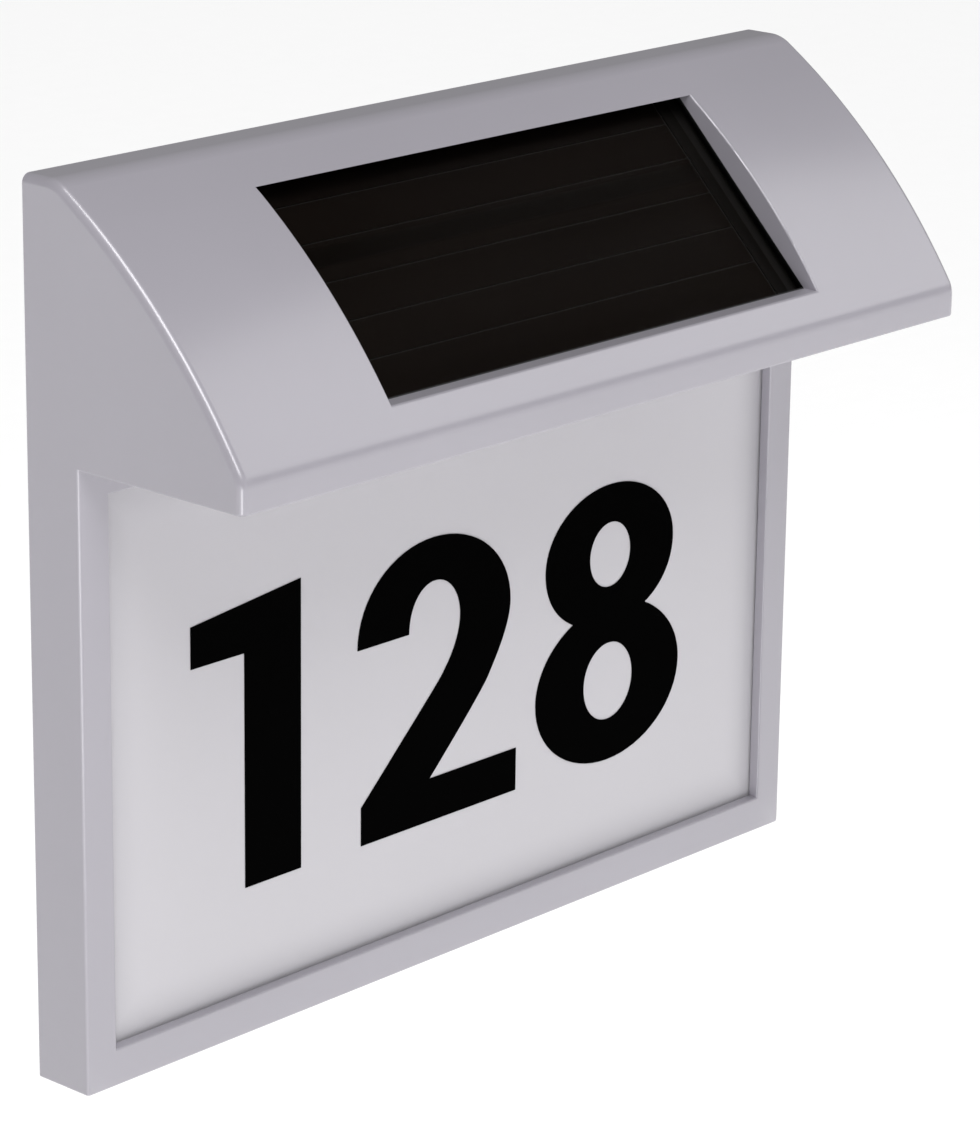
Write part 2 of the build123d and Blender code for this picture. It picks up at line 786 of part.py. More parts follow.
def battery_bay():
    """Bay for one cell, with the step that its door sits on."""
    half_length, half_bay = bay_length / 2, bay_width / 2
    half_door = half_bay + door_step
    body = span_box(
        (-half_length - bay_wall, half_length + bay_wall), (bay_front - bay_wall, cover_front),
        (battery_z - half_bay - bay_wall, battery_z + half_bay + bay_wall))
    body += span_box(
        (-door_body_end, door_body_end), (step_y - bay_wall, cover_front),
        (battery_z - half_door - bay_wall, battery_z + half_door + bay_wall))
    hollow = span_box(
        (-half_length, half_length), (bay_front, cut_past), (battery_z - half_bay, battery_z + half_bay))
    hollow += span_box(
        (-half_length - door_tab, half_length + door_tab), (step_y, cut_past),
        (battery_z - half_door, battery_z + half_door))
    grow = tab_clearance
    hollow += contact_tab((-half_length - bay_wall - cut_past, half_length + bay_wall + cut_past), grow)
    for side in (-1, 1):
        x = side * door_screw_x
        body += prism_y(door_post_radius, x, battery_z, (step_y - door_screw[1], step_y))
        hollow += prism_y(
            door_screw[0] + pilot_clearance, x, battery_z, (step_y - door_screw[1] + pilot_extra, 0))
    return body, hollow


def switch_pocket():
    """Sunk pocket for the slide switch, with the slot that its slider moves in."""
    half_length = switch_case_length / 2 + switch_pocket_margin
    half_pocket = switch_case_width / 2 + switch_pocket_margin / 2
    floor_y = -switch_pocket_depth
    body = span_box(
        (switch_x - half_length - switch_pocket_wall, switch_x + half_length + switch_pocket_wall),
        (switch_face_y, cover_front),
        (switch_z - half_pocket - switch_pocket_wall, switch_z + half_pocket + switch_pocket_wall))
    hollow = span_box(
        (switch_x - half_length, switch_x + half_length), (floor_y, cut_past),
        (switch_z - half_pocket, switch_z + half_pocket))
    hollow += switch_slot((switch_face_y - cut_past, 0))
    for x, z in switch_screw_places:
        hollow += prism_y(small_screw[0] + pilot_clearance, x, z, (switch_face_y - cut_past, floor_y))
    return body, hollow


def switch_slot(y_span):
    """Slot that the knob of the switch moves in."""
    return span_box(
        (switch_x - slot_half_length, switch_x + slot_half_length), y_span,
        (switch_z - slot_half_width, switch_z + slot_half_width))


def board_posts():
    """Posts on the inside of the cover that carry the circuit board, with their screw holes."""
    posts, holes = Part(), Part()
    for x, z in board_screw_places:
        posts += prism_y(board_post_radius, x, z, (board_back, cover_front))
        holes += prism_y(
            small_screw[0] + pilot_clearance, x, z,
            (board_back - cut_past, board_front + small_screw[1] + pilot_extra))
    return posts, holes


def rear_cover():
    """Moulded cover that closes the back and carries the battery, the switch and the circuit board."""
    cover = cover_plate() + cover_ribs() + cover_hooks()
    features = (cover_cups(), keyholes(), battery_bay(), switch_pocket(), board_posts())
    for body, _ in features:
        cover += body
    for _, hollow in features:
        cover -= hollow
    return cover


def rear_cover_seal():
    """Thin ring on the ledge of the housing, under the edge of the cover."""
    outside = cover_rebate + cover_clearance
    ring = RectangleRounded(sign_width - 2 * outside, sign_height - 2 * outside, cover_rebate / 2)
    ring -= Rectangle(2 * inner_half_width + cover_clearance, sign_height - 2 * wall + cover_clearance)
    return Pos(0, cover_front, 0) * extrude(Plane.XZ * ring, cover_seal_thickness)


def rear_cover_screws():
    """Screws through the rear cover into the long bosses of the housing."""
    screw = Rot(-90, 0, 0) * pan_screw(cover_screw)
    return group(Pos(x, cup_seat, z) * screw for x, z in cover_screw_places)


# ---------------------------------------------------------------- battery
def battery():
    """Cylindrical cell lying along X, with its raised contact to the right."""
    body_high = bay_length / 2 - contact_thickness - battery_nub_length
    body_length = battery_length - battery_nub_length
    cell = Cylinder(battery_radius, body_length)
    cell = chamfer(cell.edges(), battery_bevel)
    nub_middle = (body_length + battery_nub_length) / 2
    nub = Pos(0, 0, nub_middle) * Cylinder(battery_nub_radius, battery_nub_length)
    return Pos(body_high - body_length / 2, battery_y, battery_z) * Rot(0, 90, 0) * (cell + nub)


def contact_plate(x_span):
    """Square plate across the bay, level with the battery."""
    return span_box(
        x_span, (battery_y - contact_height / 2, battery_y + contact_height / 2),
        (battery_z - contact_height / 2, battery_z + contact_height / 2))


def contact_tab(x_span, grow):
    """Flat tab of a battery contact, which its lead is soldered to, or the slot that it goes through."""
    half_thickness = contact_thickness / 2 + grow
    return span_box(
        x_span, (tab_y_span[0] - grow, tab_y_span[1] + grow),
        (battery_z - half_thickness, battery_z + half_thickness))


def battery_positive_contact():
    """Flat plate that the raised end of the cell touches, with its tab."""
    plate_face = bay_length / 2 - contact_thickness
    return contact_plate((plate_face, bay_length / 2)) + contact_tab((plate_face, tab_end), 0)


def battery_spring():
    """Coned coil spring on its own plate and tab, which pushes the cell against the flat contact."""
    plate_face = -bay_length / 2 + contact_thickness
    cell_end = bay_length / 2 - contact_thickness - battery_length
    height = cell_end - plate_face - spring_wire / 2 - spring_seat - spring_end_gap / 2
    taper = atan2(spring_big_radius - spring_small_radius, height) * 180 / pi
    path = Helix(height / spring_turns, height, spring_big_radius, cone_angle=-taper)
    section = Plane(path @ 0, z_dir=path % 0) * RegularPolygon(spring_wire / 2, 4)
    coil = sweep(section, path, is_frenet=True)
    coil = Pos(plate_face + spring_seat, battery_y, battery_z) * Rot(0, 90, 0) * coil
    return coil + contact_plate((-bay_length / 2, plate_face)) + contact_tab((-tab_end, plate_face), 0)


def battery_door():
    """Door of the battery bay, with a sunk hole at each end for its screws."""
    half_length = bay_length / 2 + door_tab - door_clearance
    half_door = bay_width / 2 + door_step - door_clearance
    door = span_box(
        (-half_length, half_length), (door_inner, -door_sink),
        (battery_z - half_door, battery_z + half_door))
    door = fillet(door.edges().filter_by(Axis.Y), door_step / 2)
    shank_radius, _, head_radius, head_height = door_screw
    for side in (-1, 1):
        x = side * door_screw_x
        door -= prism_y(shank_radius + pass_clearance, x, battery_z, (door_inner - cut_past, 0))
        sunk = flare(head_radius + pilot_clearance, shank_radius, head_height + pilot_clearance)
        door -= Pos(x, pilot_clearance / 2 - door_sink, battery_z) * Rot(-90, 0, 0) * sunk
    return door


def battery_door_seal():
    """Ring on the step of the bay, under the door."""
    y_span = (step_y, door_inner)
    half_length, half_bay = bay_length / 2, bay_width / 2
    outside, inside = door_step - door_clearance, door_clearance
    ring = span_box(
        (-half_length - outside, half_length + outside), y_span,
        (battery_z - half_bay - outside, battery_z + half_bay + outside))
    hole = span_box(
        (-half_length - inside, half_length + inside), y_span,
        (battery_z - half_bay - inside, battery_z + half_bay + inside))
    return ring - hole


def battery_door_screws():
    """Countersunk screws of the battery door."""
    screw = Rot(-90, 0, 0) * flat_screw(door_screw)
    return group(Pos(side * door_screw_x, -door_sink, battery_z) * screw for side in (-1, 1))


# ---------------------------------------------------------------- circuit board
def circuit_board():
    """Control board, upright behind the cover."""
    board = span_box(
        (board_x - board_length / 2, board_x + board_length / 2), (board_front, board_back),
        (board_z - board_width / 2, board_z + board_width / 2))
    for x, z in board_screw_places:
        through = (board_front - cut_past, board_back + cut_past)
        board -= prism_y(small_screw[0] + pass_clearance, x, z, through)
    return board


def board_screws():
    """Screws of the circuit board."""
    screw = Rot(90, 0, 0) * pan_screw(small_screw)
    return group(Pos(x, board_front, z) * screw for x, z in board_screw_places)


def on_board(x_offset, z_offset, length, width, height):
    """Box on the component side of the circuit board."""
    x, z = board_x + x_offset, board_z + z_offset
    return span_box(
        (x - length / 2, x + length / 2), (board_front - height, board_front),
        (z - width / 2, z + width / 2))


def control_chip():
    """Chip that charges the cell by day and lights the lamps at dusk."""
    return on_board(*chip_place, *chip_size)


def inductor():
    """Wound coil of the lamp driver, in its drum."""
    x, z = board_x + inductor_place[0], board_z + inductor_place[1]
    low, high = board_front - inductor_height, board_front
    drum = prism_y(inductor_radius, x, z, (low, low + inductor_flange))
    drum += prism_y(inductor_radius - inductor_groove, x, z, (low, high))
    return drum + prism_y(inductor_radius, x, z, (high - inductor_flange, high))


def capacitor():
    """Storage capacitor of the lamp driver."""
    x, z = board_x + capacitor_place[0], board_z + capacitor_place[1]
    return rod_y(capacitor_radius, x, z, (board_front - capacitor_height, board_front))


def resistors():
    """Row of small resistors."""
    x, z = resistor_place
    return group(on_board(x + step * resistor_pitch, z, *resistor_size) for step in range(resistor_count))


def lead_sockets():
    """Sockets for the leads of the solar panel, the battery and the lamps."""
    length, width, height = socket_size
    sockets = []
    for step in range(socket_count):
        x_offset, z_offset = socket_place[0] + step * socket_pitch, socket_place[1]
        shell = on_board(x_offset, z_offset, length, width, height)
        inside = on_board(
            x_offset, z_offset, length - 2 * socket_wall, width - 2 * socket_wall, height + cut_past)
        base = on_board(x_offset, z_offset, length, width, socket_base)
        sockets.append(shell - inside + base)
    return group(sockets)


# ---------------------------------------------------------------- switch
def switch_case():
    """Body of the slide switch, held under its pocket by two ears."""
    half_length, half_case = switch_case_length / 2, switch_case_width / 2
    z_span = (switch_z - half_case, switch_z + half_case)
    case = span_box((switch_x - half_length, switch_x + half_length), (switch_front, switch_face_y), z_span)
    case += span_box(
        (switch_x - half_length - switch_ear, switch_x + half_length + switch_ear),
        (switch_face_y - switch_ear_thickness, switch_face_y), z_span)
    half_room = (carrier_length + switch_travel) / 2 + slider_clearance
    room_side = half_case - switch_case_wall
    case -= span_box(
        (switch_x - half_room, switch_x + half_room),
        (carrier_back - carrier_thickness - slider_clearance, carrier_back + slider_clearance),
        (switch_z - room_side, switch_z + room_side))
    case -= switch_slot((carrier_back, switch_face_y + cut_past))
    for x, z in switch_screw_places:
        case -= prism_y(
            small_screw[0] + pass_clearance, x, z,
            (switch_face_y - switch_ear_thickness - cut_past, switch_face_y + cut_past))
    return case


def switch_slider():
    """Slider of the switch, at the off end of its travel."""
    x = switch_x - switch_travel / 2
    carrier_side = switch_case_width / 2 - switch_case_wall - slider_clearance
    carrier = span_box(
        (x - carrier_length / 2, x + carrier_length / 2), (carrier_back - carrier_thickness, carrier_back),
        (switch_z - carrier_side, switch_z + carrier_side))
    knob = span_box(
        (x - slider_length / 2, x + slider_length / 2), (carrier_back, -slider_sink),
        (switch_z - slider_width / 2, switch_z + slider_width / 2))
    for step in range(groove_count):
        groove_x = x + (step - (groove_count - 1) / 2) * slider_length / (groove_count + 1)
        knob -= span_box(
            (groove_x - groove_width / 2, groove_x + groove_width / 2), (-slider_sink - groove_depth, 0),
            (switch_z - slider_width, switch_z + slider_width))
    return carrier + knob


def switch_screws():
    """Screws through the ears of the switch."""
    screw = Rot(90, 0, 0) * pan_screw(switch_screw)
    return group(Pos(x, switch_face_y - switch_ear_thickness, z) * screw for x, z in switch_screw_places)


# ---------------------------------------------------------------- leads
def lead(radius, points):
    """Lead along a line of points, with a round bend at each corner."""
    path = FilletPolyline(*points, radius=lead_bend)
    section = Plane(path @ 0, z_dir=path % 0) * RegularPolygon(radius, lead_sides)
    return sweep(section, path)


def plug(x):
    """Plug in one of the sockets of the circuit board."""
    half_length = socket_size[0] / 2 - socket_wall - plug_clearance
    half_width = socket_size[1] / 2 - socket_wall - plug_clearance
    return span_box(
        (x - half_length, x + half_length), (plug_front, board_front - socket_base),
        (socket_z - half_width, socket_z + half_width))


def solar_lead():
    """Lead from the back of the solar panel to its plug."""
    x = -glass_half_width + solar_lead_from_end
    y = glass_low + solar_lead_above_low
    start = (window_frame * Pos(x, y, backing_under)).position
    below = (window_frame * Pos(x, y, backing_under - lead_clear)).position
    socket_x = socket_xs[0]
    turn = (socket_x, plug_front - lead_clear, socket_z)
    return lead(pair_radius, [start, below, turn, (socket_x, plug_front, socket_z)]) + plug(socket_x)


def lamp_lead():
    """Lead from the top of the lamp board to its plug."""
    x = lamp_lead_inside - lamp_screw_x
    top = lamp_board_low + lamp_board_thickness
    high = top + lead_clear - 2 * pair_radius
    socket_x = socket_xs[1]
    over = ((x + 2 * socket_x) / 3, (2 * lens_y + plug_front - lead_clear) / 3, high)
    turn = (socket_x, plug_front - lead_clear, socket_z)
    points = [(x, lens_y, top), (x, lens_y, high), over, turn, (socket_x, plug_front, socket_z)]
    return lead(pair_radius, points) + plug(socket_x)


def battery_leads():
    """Leads of the two battery contacts: one to its plug, one to the switch."""
    first_y = tab_y_span[0]
    out_y = first_y - lead_clear
    black_x = socket_xs[2] - lead_spacing / 2
    turn_y = plug_front - lead_clear - 2 * lead_spacing
    black = lead(lead_radius, [
        (-tab_lead_x, first_y, battery_z), (-tab_lead_x, out_y, battery_z),
        ((black_x - tab_lead_x) / 2, turn_y, (battery_z + socket_z) / 2),
        (black_x, turn_y + lead_spacing, socket_z), (black_x, plug_front, socket_z)])
    pin_x = switch_x - switch_pin_pitch / 2
    red = lead(lead_radius, [
        (tab_lead_x, first_y, battery_z), (tab_lead_x, out_y, battery_z),
        ((pin_x + tab_lead_x) / 2, out_y - lead_spacing, (battery_z + switch_z) / 2),
        (pin_x, switch_front - lead_clear, switch_z), (pin_x, switch_front, switch_z)])
    return group([black + plug(socket_xs[2]), red])


def switch_lead():
    """Lead from the switch to the battery plug, along the floor of the hood."""
    pin_x = switch_x + switch_pin_pitch / 2
    end_x = socket_xs[2] + lead_spacing / 2
    run_y = plug_front - lead_clear
    run_z = inner_floor + 2 * lead_radius
    return lead(lead_radius, [
        (pin_x, switch_front, switch_z), (pin_x, switch_front - lead_clear, switch_z),
        (pin_x - 2 * lead_clear, run_y, run_z), (end_x + 2 * lead_clear, run_y, run_z),
        (end_x, run_y, socket_z), (end_x, plug_front, socket_z)])


PIECES = {
    "front_housing": front_housing,
    "sign_panel": sign_panel,
    "sign_panel_seal": sign_panel_seal,
    "solar_glass": solar_glass,
    "solar_glass_seal": solar_glass_seal,
    "solar_cells": solar_cells,
    "solar_contacts": solar_contacts,
    "solar_backing": solar_backing,
    "solar_tray": solar_tray,
    "solar_tray_screws": solar_tray_screws,
    "light_lens": light_lens,
    "lamp_board": lamp_board,
    "lamps": lamps,
    "lamp_board_screws": lamp_board_screws,
    "rear_cover": rear_cover,
    "rear_cover_seal": rear_cover_seal,
    "rear_cover_screws": rear_cover_screws,
    "battery": battery,
    "battery_positive_contact": battery_positive_contact,
    "battery_spring": battery_spring,
    "battery_door": battery_door,
    "battery_door_seal": battery_door_seal,
    "battery_door_screws": battery_door_screws,
    "circuit_board": circuit_board,
    "board_screws": board_screws,
    "control_chip": control_chip,
    "inductor": inductor,
    "capacitor": capacitor,
    "resistors": resistors,
    "lead_sockets": lead_sockets,
    "switch_case": switch_case,
    "switch_slider": switch_slider,
    "switch_screws": switch_screws,
    "solar_lead": solar_lead,
    "lamp_lead": lamp_lead,
    "battery_leads": battery_leads,
    "switch_lead": switch_lead,
}

os.makedirs("parts", exist_ok=True)
for name, make in PIECES.items():
    export_step(make(), f"parts/{name}.step")
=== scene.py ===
import math

import bmesh
import bpy
from bpy.props import FloatProperty, FloatVectorProperty, PointerProperty
from mathutils import Matrix, Vector


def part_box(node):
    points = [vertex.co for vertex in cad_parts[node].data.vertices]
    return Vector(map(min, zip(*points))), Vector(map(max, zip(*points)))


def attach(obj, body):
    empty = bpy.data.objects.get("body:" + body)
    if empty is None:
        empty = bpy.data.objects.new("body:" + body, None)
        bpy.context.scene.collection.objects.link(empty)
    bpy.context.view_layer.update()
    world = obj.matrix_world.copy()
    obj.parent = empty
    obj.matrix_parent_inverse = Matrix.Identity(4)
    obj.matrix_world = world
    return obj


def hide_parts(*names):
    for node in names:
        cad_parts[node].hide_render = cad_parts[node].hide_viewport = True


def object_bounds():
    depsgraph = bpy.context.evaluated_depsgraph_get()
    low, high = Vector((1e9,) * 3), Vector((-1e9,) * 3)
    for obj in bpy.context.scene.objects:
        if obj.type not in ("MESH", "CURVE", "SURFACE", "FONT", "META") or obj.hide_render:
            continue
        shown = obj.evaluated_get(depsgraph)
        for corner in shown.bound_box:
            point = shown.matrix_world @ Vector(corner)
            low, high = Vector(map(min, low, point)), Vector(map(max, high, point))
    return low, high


bl_info = {
    "name": "Solar house number sign",
    "version": (1, 0, 0),
    "blender": (4, 5, 0),
    "location": "3D View > Sidebar > House sign",
    "description": "Finishes a solar house number sign and adds its fine detail to the construction model",
    "category": "Add Mesh",
}

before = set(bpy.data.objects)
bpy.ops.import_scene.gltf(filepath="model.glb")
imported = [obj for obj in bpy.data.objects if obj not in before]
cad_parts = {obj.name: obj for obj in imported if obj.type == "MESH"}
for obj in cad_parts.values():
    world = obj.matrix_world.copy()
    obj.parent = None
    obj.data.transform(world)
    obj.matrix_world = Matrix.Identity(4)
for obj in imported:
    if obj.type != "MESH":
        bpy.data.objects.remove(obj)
CAD_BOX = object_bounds()
MM = 0.001


# ---------------- shader arithmetic
# Numbers of sockets: object coordinates, and the two colours and the result of a Mix node.
OBJECT_PLACE, MIX_FIRST, MIX_SECOND, MIX_RESULT = 3, 6, 7, 2


def maths(operation, swap=False):
    """A method that puts a field and another value into a Math node."""
    def method(self, *others):
        values = (*others, self) if swap else (self, *others)
        return self.finish.node("ShaderNodeMath", dict(enumerate(values)), operation=operation)[0]

    return method


class Field:
    """A value or colour that varies over a surface, with ordinary arithmetic."""

    def __init__(self, finish, socket):
        self.finish = finish
        self.socket = socket

    __add__ = __radd__ = maths("ADD")
    __sub__, __rsub__ = maths("SUBTRACT"), maths("SUBTRACT", swap=True)
    __mul__ = __rmul__ = maths("MULTIPLY")
    __truediv__ = maths("DIVIDE")
    size = maths("ABSOLUTE")
    root = maths("SQRT")
    least = maths("MINIMUM")  # the smaller of two values
    repeat = maths("PINGPONG")  # rises from 0 to a length and falls back, over and over

    def step(self, low, high):
        """A smooth rise from 0 at low to 1 at high."""
        ranges = {"Value": self, "From Min": low, "From Max": high}
        return self.finish.node("ShaderNodeMapRange", ranges, interpolation_type="SMOOTHSTEP")[0]


class Finish:
    """A material that is built up from nodes on the object's own coordinates, in metres."""

    def __init__(self, name, **fields):
        self.material = bpy.data.materials.new(name)
        self.material.use_nodes = True
        self.tree = self.material.node_tree
        self.shader = self.tree.nodes["Principled BSDF"]
        self.place = self.node("ShaderNodeTexCoord")[OBJECT_PLACE]
        self.set(**fields)

    def feed(self, socket, value):
        """Links a field to a socket, or sets a plain value or colour on it."""
        if isinstance(value, Field):
            self.tree.links.new(value.socket, socket)
        elif socket.type == "RGBA" and len(value) == 3:
            socket.default_value = (*value, 1)
        else:
            socket.default_value = value

    def node(self, kind, inputs=None, **modes):
        """Adds a node, feeds its inputs and returns its outputs as fields."""
        node = self.tree.nodes.new(kind)
        for name, value in modes.items():
            setattr(node, name, value)
        for key, value in (inputs or {}).items():
            self.feed(node.inputs[key], value)
        return [Field(self, socket) for socket in node.outputs]

    def set(self, **fields):
        """Feeds the shader's own sockets, named with underscores."""
        for name, value in fields.items():
            socket = name.replace("_", " ").title().replace("Ior", "IOR")
            self.feed(self.shader.inputs[socket], value)

    def coordinates(self):
        """X, Y and Z of the surface, in metres."""
        return self.node("ShaderNodeSeparateXYZ", {0: self.place})

    def noise(self, per_metre, detail=4.0, roughness=0.5, stretch=(1, 1, 1)):
        """Soft noise between 0 and 1, with about that many spots to the metre."""
        mapped = self.node("ShaderNodeMapping", {"Vector": self.place, "Scale": stretch})[0]
        inputs = {"Vector": mapped, "Scale": per_metre, "Detail": detail, "Roughness": roughness}
        return self.node("ShaderNodeTexNoise", inputs)[0]

    def blend(self, share, first, second, blend_type="MIX"):
        """A mix of two colours."""
        inputs = {"Factor": share, MIX_FIRST: first, MIX_SECOND: second}
        return self.node("ShaderNodeMix", inputs, data_type="RGBA", blend_type=blend_type)[MIX_RESULT]

    def shade(self, colour, share):
        """A colour times a value that varies."""
        grey = self.node("ShaderNodeCombineColor", {0: share, 1: share, 2: share})[0]
        return self.blend(1.0, colour, grey, "MULTIPLY")

    def bump(self, height, strength, distance=0.04 * MM):
        """Gives the surface a relief of that height."""
        inputs = {"Height": height, "Strength": strength, "Distance": distance}
        self.set(normal=self.node("ShaderNodeBump", inputs)[0])
        return self

    def see_through(self, tint, haze, index):
        """Shows what lies behind, apart from a haze and the gloss at a flat angle."""
        clear = self.node("ShaderNodeBsdfTransparent", {"Color": tint})[0]
        gloss = self.node("ShaderNodeFresnel", {"IOR": index})[0]
        share = (haze + gloss).least(1.0)
        solid = Field(self, self.shader.outputs[0])
        mixed = self.node("ShaderNodeMixShader", {0: share, 1: clear, 2: solid})[0]
        self.feed(self.tree.nodes["Material Output"].inputs["Surface"], mixed)
        return self


# ---------------- finishes
FINE_RELIEF = 0.02 * MM
BATTERY_Y, BATTERY_Z = -10.3, 51.0
HALF_LAMP_STEP = 10
LENS_Y, LENS_HALF, LENS_HALF_WIDTH = -36.0, 42.0, 5.5


def silver_lacquer(colour):
    """Satin silver lacquer with faint flow streaks and a fine flake."""
    finish = Finish(
        "silver lacquer", metallic=0.06, specular_ior_level=0.5, coat_weight=1.0, coat_roughness=0.18)
    streaks = finish.noise(24, detail=3, stretch=(1.0, 1.0, 0.12))
    clouds = finish.noise(14, detail=2)
    flake = finish.noise(5200, detail=2)
    finish.set(
        base_color=finish.shade(colour, 0.94 + 0.07 * streaks + 0.05 * clouds),
        roughness=0.30 + 0.05 * clouds + 0.04 * streaks)
    return finish.bump(flake, 0.10, FINE_RELIEF).material


def opal_sheet(colour, painted_shade_colour):
    """Opal sheet with a painted shade along the frame, darker within about 9 mm of it."""
    finish = Finish("opal sheet", specular_ior_level=0.4, coat_weight=0.15, coat_roughness=0.2)
    low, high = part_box("sign_panel")
    x, _, z = finish.coordinates()
    behind_frame = 1.8 * MM
    from_side = (high.x - behind_frame) - x.size()
    from_below = z - (low.z + behind_frame)
    nearest = from_side.least(from_below).least((high.z - behind_frame) - z)
    # Painted shade: the panel turns darker towards the frame, over the last 9 mm before it.
    edge = 1 - nearest.step(-0.5 * MM, 9 * MM)
    clouds = finish.noise(9, detail=2)
    tint = finish.blend(edge * 0.5, colour, painted_shade_colour)
    finish.set(base_color=finish.shade(tint, 0.97 + 0.05 * clouds), roughness=0.34 + 0.06 * clouds)
    return finish.bump(finish.noise(900, detail=2), 0.03, FINE_RELIEF).material


def moulded(name, colour, roughness, grain=1500, relief=0.25, spread=0.12, **fields):
    """Even surface with a fine grain and slight changes of tone and gloss."""
    finish = Finish(name, **fields)
    clouds = finish.noise(45)
    fine = finish.noise(grain, detail=3)
    tone = 1 - spread / 2 + spread * clouds
    finish.set(base_color=finish.shade(colour, tone), roughness=roughness - 0.05 + 0.1 * clouds)
    return finish.bump(fine, relief).material


def turned_metal(name, colour, roughness):
    """Plated metal with fine tool marks and a little tarnish."""
    finish = Finish(name, metallic=0.95)
    marks = finish.noise(2600, detail=3)
    tarnish = finish.noise(160, detail=5, roughness=0.6)
    finish.set(
        base_color=finish.shade(colour, 0.82 + 0.14 * tarnish + 0.1 * marks),
        roughness=roughness + 0.14 * tarnish)
    return finish.bump(marks, 0.2, FINE_RELIEF).material


def cell_film(colour, smear_colour):
    """Thin-film cell: brown black, uneven, with faint smears along the strips."""
    finish = Finish("cell film", specular_ior_level=0.03)
    clouds = finish.noise(30, detail=3)
    smear = finish.noise(70, detail=2, stretch=(0.25, 1, 1))
    tone = 0.6 + 0.5 * clouds + 0.4 * smear
    smeared = (smear - 0.62).step(0, 0.3) * 0.3
    finish.set(
        base_color=finish.blend(smeared, finish.shade(colour, tone), smear_colour),
        roughness=0.45 + 0.2 * clouds)
    return finish.material


def window_glass(tint):
    """Clear glass with a slight haze of dust."""
    finish = Finish("window glass", base_color=(0.02, 0.018, 0.016), specular_ior_level=0.5)
    dust = finish.noise(260, detail=5, roughness=0.7)
    finish.set(roughness=0.07 + 0.08 * dust)
    return finish.see_through(tint, 0.002 + 0.008 * dust, 1.12).material


def frosted_lens(tint):
    """Clear moulded plastic with fine ridges that spread the light."""
    finish = Finish("frosted lens", base_color=(0.86, 0.87, 0.88))
    x, _, _ = finish.coordinates()
    half_ridge = 0.6 * MM
    ridge = x.repeat(half_ridge) / half_ridge
    mist = finish.noise(700, detail=3)
    finish.set(roughness=0.22 + 0.15 * mist)
    finish.bump(ridge + 0.3 * mist, 0.5, 0.1 * MM)
    return finish.see_through(tint, 0.30 + 0.16 * mist, 1.45).material


def battery_sleeve(sleeve, metal):
    """Shrink sleeve with bare metal in the middle of both ends."""
    finish = Finish("battery sleeve")
    _, y, z = finish.coordinates()
    across, up = y - BATTERY_Y * MM, z - BATTERY_Z * MM
    ring = (across * across + up * up).root()
    bare = 1 - ring.step(5.5 * MM, 5.7 * MM)
    clouds = finish.noise(120, detail=4)
    seam = 1 - across.size().step(0, 0.5 * MM)
    film = finish.shade(sleeve, 0.9 + 0.2 * clouds - 0.15 * seam)
    finish.set(
        base_color=finish.blend(bare, film, finish.shade(metal, 0.85 + 0.25 * clouds)),
        metallic=0.95 * bare, roughness=0.24 + 0.12 * clouds)
    return finish.bump(finish.noise(500, detail=3), 0.12).material


def lamp_case(case, phosphor):
    """White lamp cases with a yellow disc of phosphor in each."""
    finish = Finish("lamp case")
    x, y, _ = finish.coordinates()
    along, across = HALF_LAMP_STEP * MM - x.repeat(HALF_LAMP_STEP * MM), y - LENS_Y * MM
    disc = 1 - (along * along + across * across).root().step(0.98 * MM, 1.08 * MM)
    clouds = finish.noise(900, detail=3)
    finish.set(
        base_color=finish.shade(finish.blend(disc, case, phosphor), 0.92 + 0.12 * clouds),
        roughness=0.42 - 0.2 * disc)
    return finish.bump(clouds, 0.15).material


def lead_core(left, right):
    """Soft insulation, of one colour left of the middle and another right of it."""
    finish = Finish("lead core")
    x, _, _ = finish.coordinates()
    clouds = finish.noise(150)
    finish.set(
        base_color=finish.shade(finish.blend(x.step(-1 * MM, 1 * MM), left, right), 0.9 + 0.2 * clouds),
        roughness=0.4 + 0.1 * clouds)
    return finish.bump(finish.noise(1800, detail=2), 0.15).material


def dress(material, *nodes):
    """Gives construction nodes their finish."""
    for node in nodes:
        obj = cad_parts[node]
        obj.data.materials.clear()
        obj.data.materials.append(material)


# ---------------- drawing helpers
def deselect():
    """Leaves nothing selected, with no mesh open."""
    if bpy.context.object and bpy.context.object.mode != "OBJECT":
        bpy.ops.object.mode_set(mode="OBJECT")
    bpy.ops.object.select_all(action="DESELECT")


def activate(obj):
    """Makes one object the selected and active one."""
    deselect()
    obj.select_set(True)
    bpy.context.view_layer.objects.active = obj


def add_object(name, data):
    """Adds an object to the scene."""
    obj = bpy.data.objects.new(name, data)
    bpy.context.scene.collection.objects.link(obj)
    return obj


def glyph(name, outlines, depth):
    """A shape as thin as film, lying on the X-Y plane, from outlines in millimetres.

    Each knot is its place and, where the line bends, the reach of the curve before and after it."""
    curve = bpy.data.curves.new(name, "CURVE")
    curve.dimensions = "2D"
    curve.fill_mode = "BOTH"
    curve.extrude = depth / 2
    curve.resolution_u = 16
    for knots in outlines:
        spline = curve.splines.new("BEZIER")
        spline.bezier_points.add(len(knots) - 1)
        spline.use_cyclic_u = True
        for point, (x, y, *reach) in zip(spline.bezier_points, knots):
            before_x, before_y, after_x, after_y = reach or (0, 0, 0, 0)
            point.handle_left_type = point.handle_right_type = "FREE"
            point.co = (x * MM, y * MM, 0)
            point.handle_left = ((x + before_x) * MM, (y + before_y) * MM, 0)
            point.handle_right = ((x + after_x) * MM, (y + after_y) * MM, 0)
    activate(add_object(name, curve))
    bpy.ops.object.convert(target="MESH")
    return bpy.context.object


QUARTER_ROUND = 0.5523  # reach of the curve that makes a quarter of a circle


def oval(x, y, half_width, half_height):
    """The four knots of an oval."""
    across, along = QUARTER_ROUND * half_width, QUARTER_ROUND * half_height
    return [
        (x + half_width, y, 0, -along, 0, along), (x, y + half_height, across, 0, -across, 0),
        (x - half_width, y, 0, along, 0, -along), (x, y - half_height, -across, 0, across, 0)]


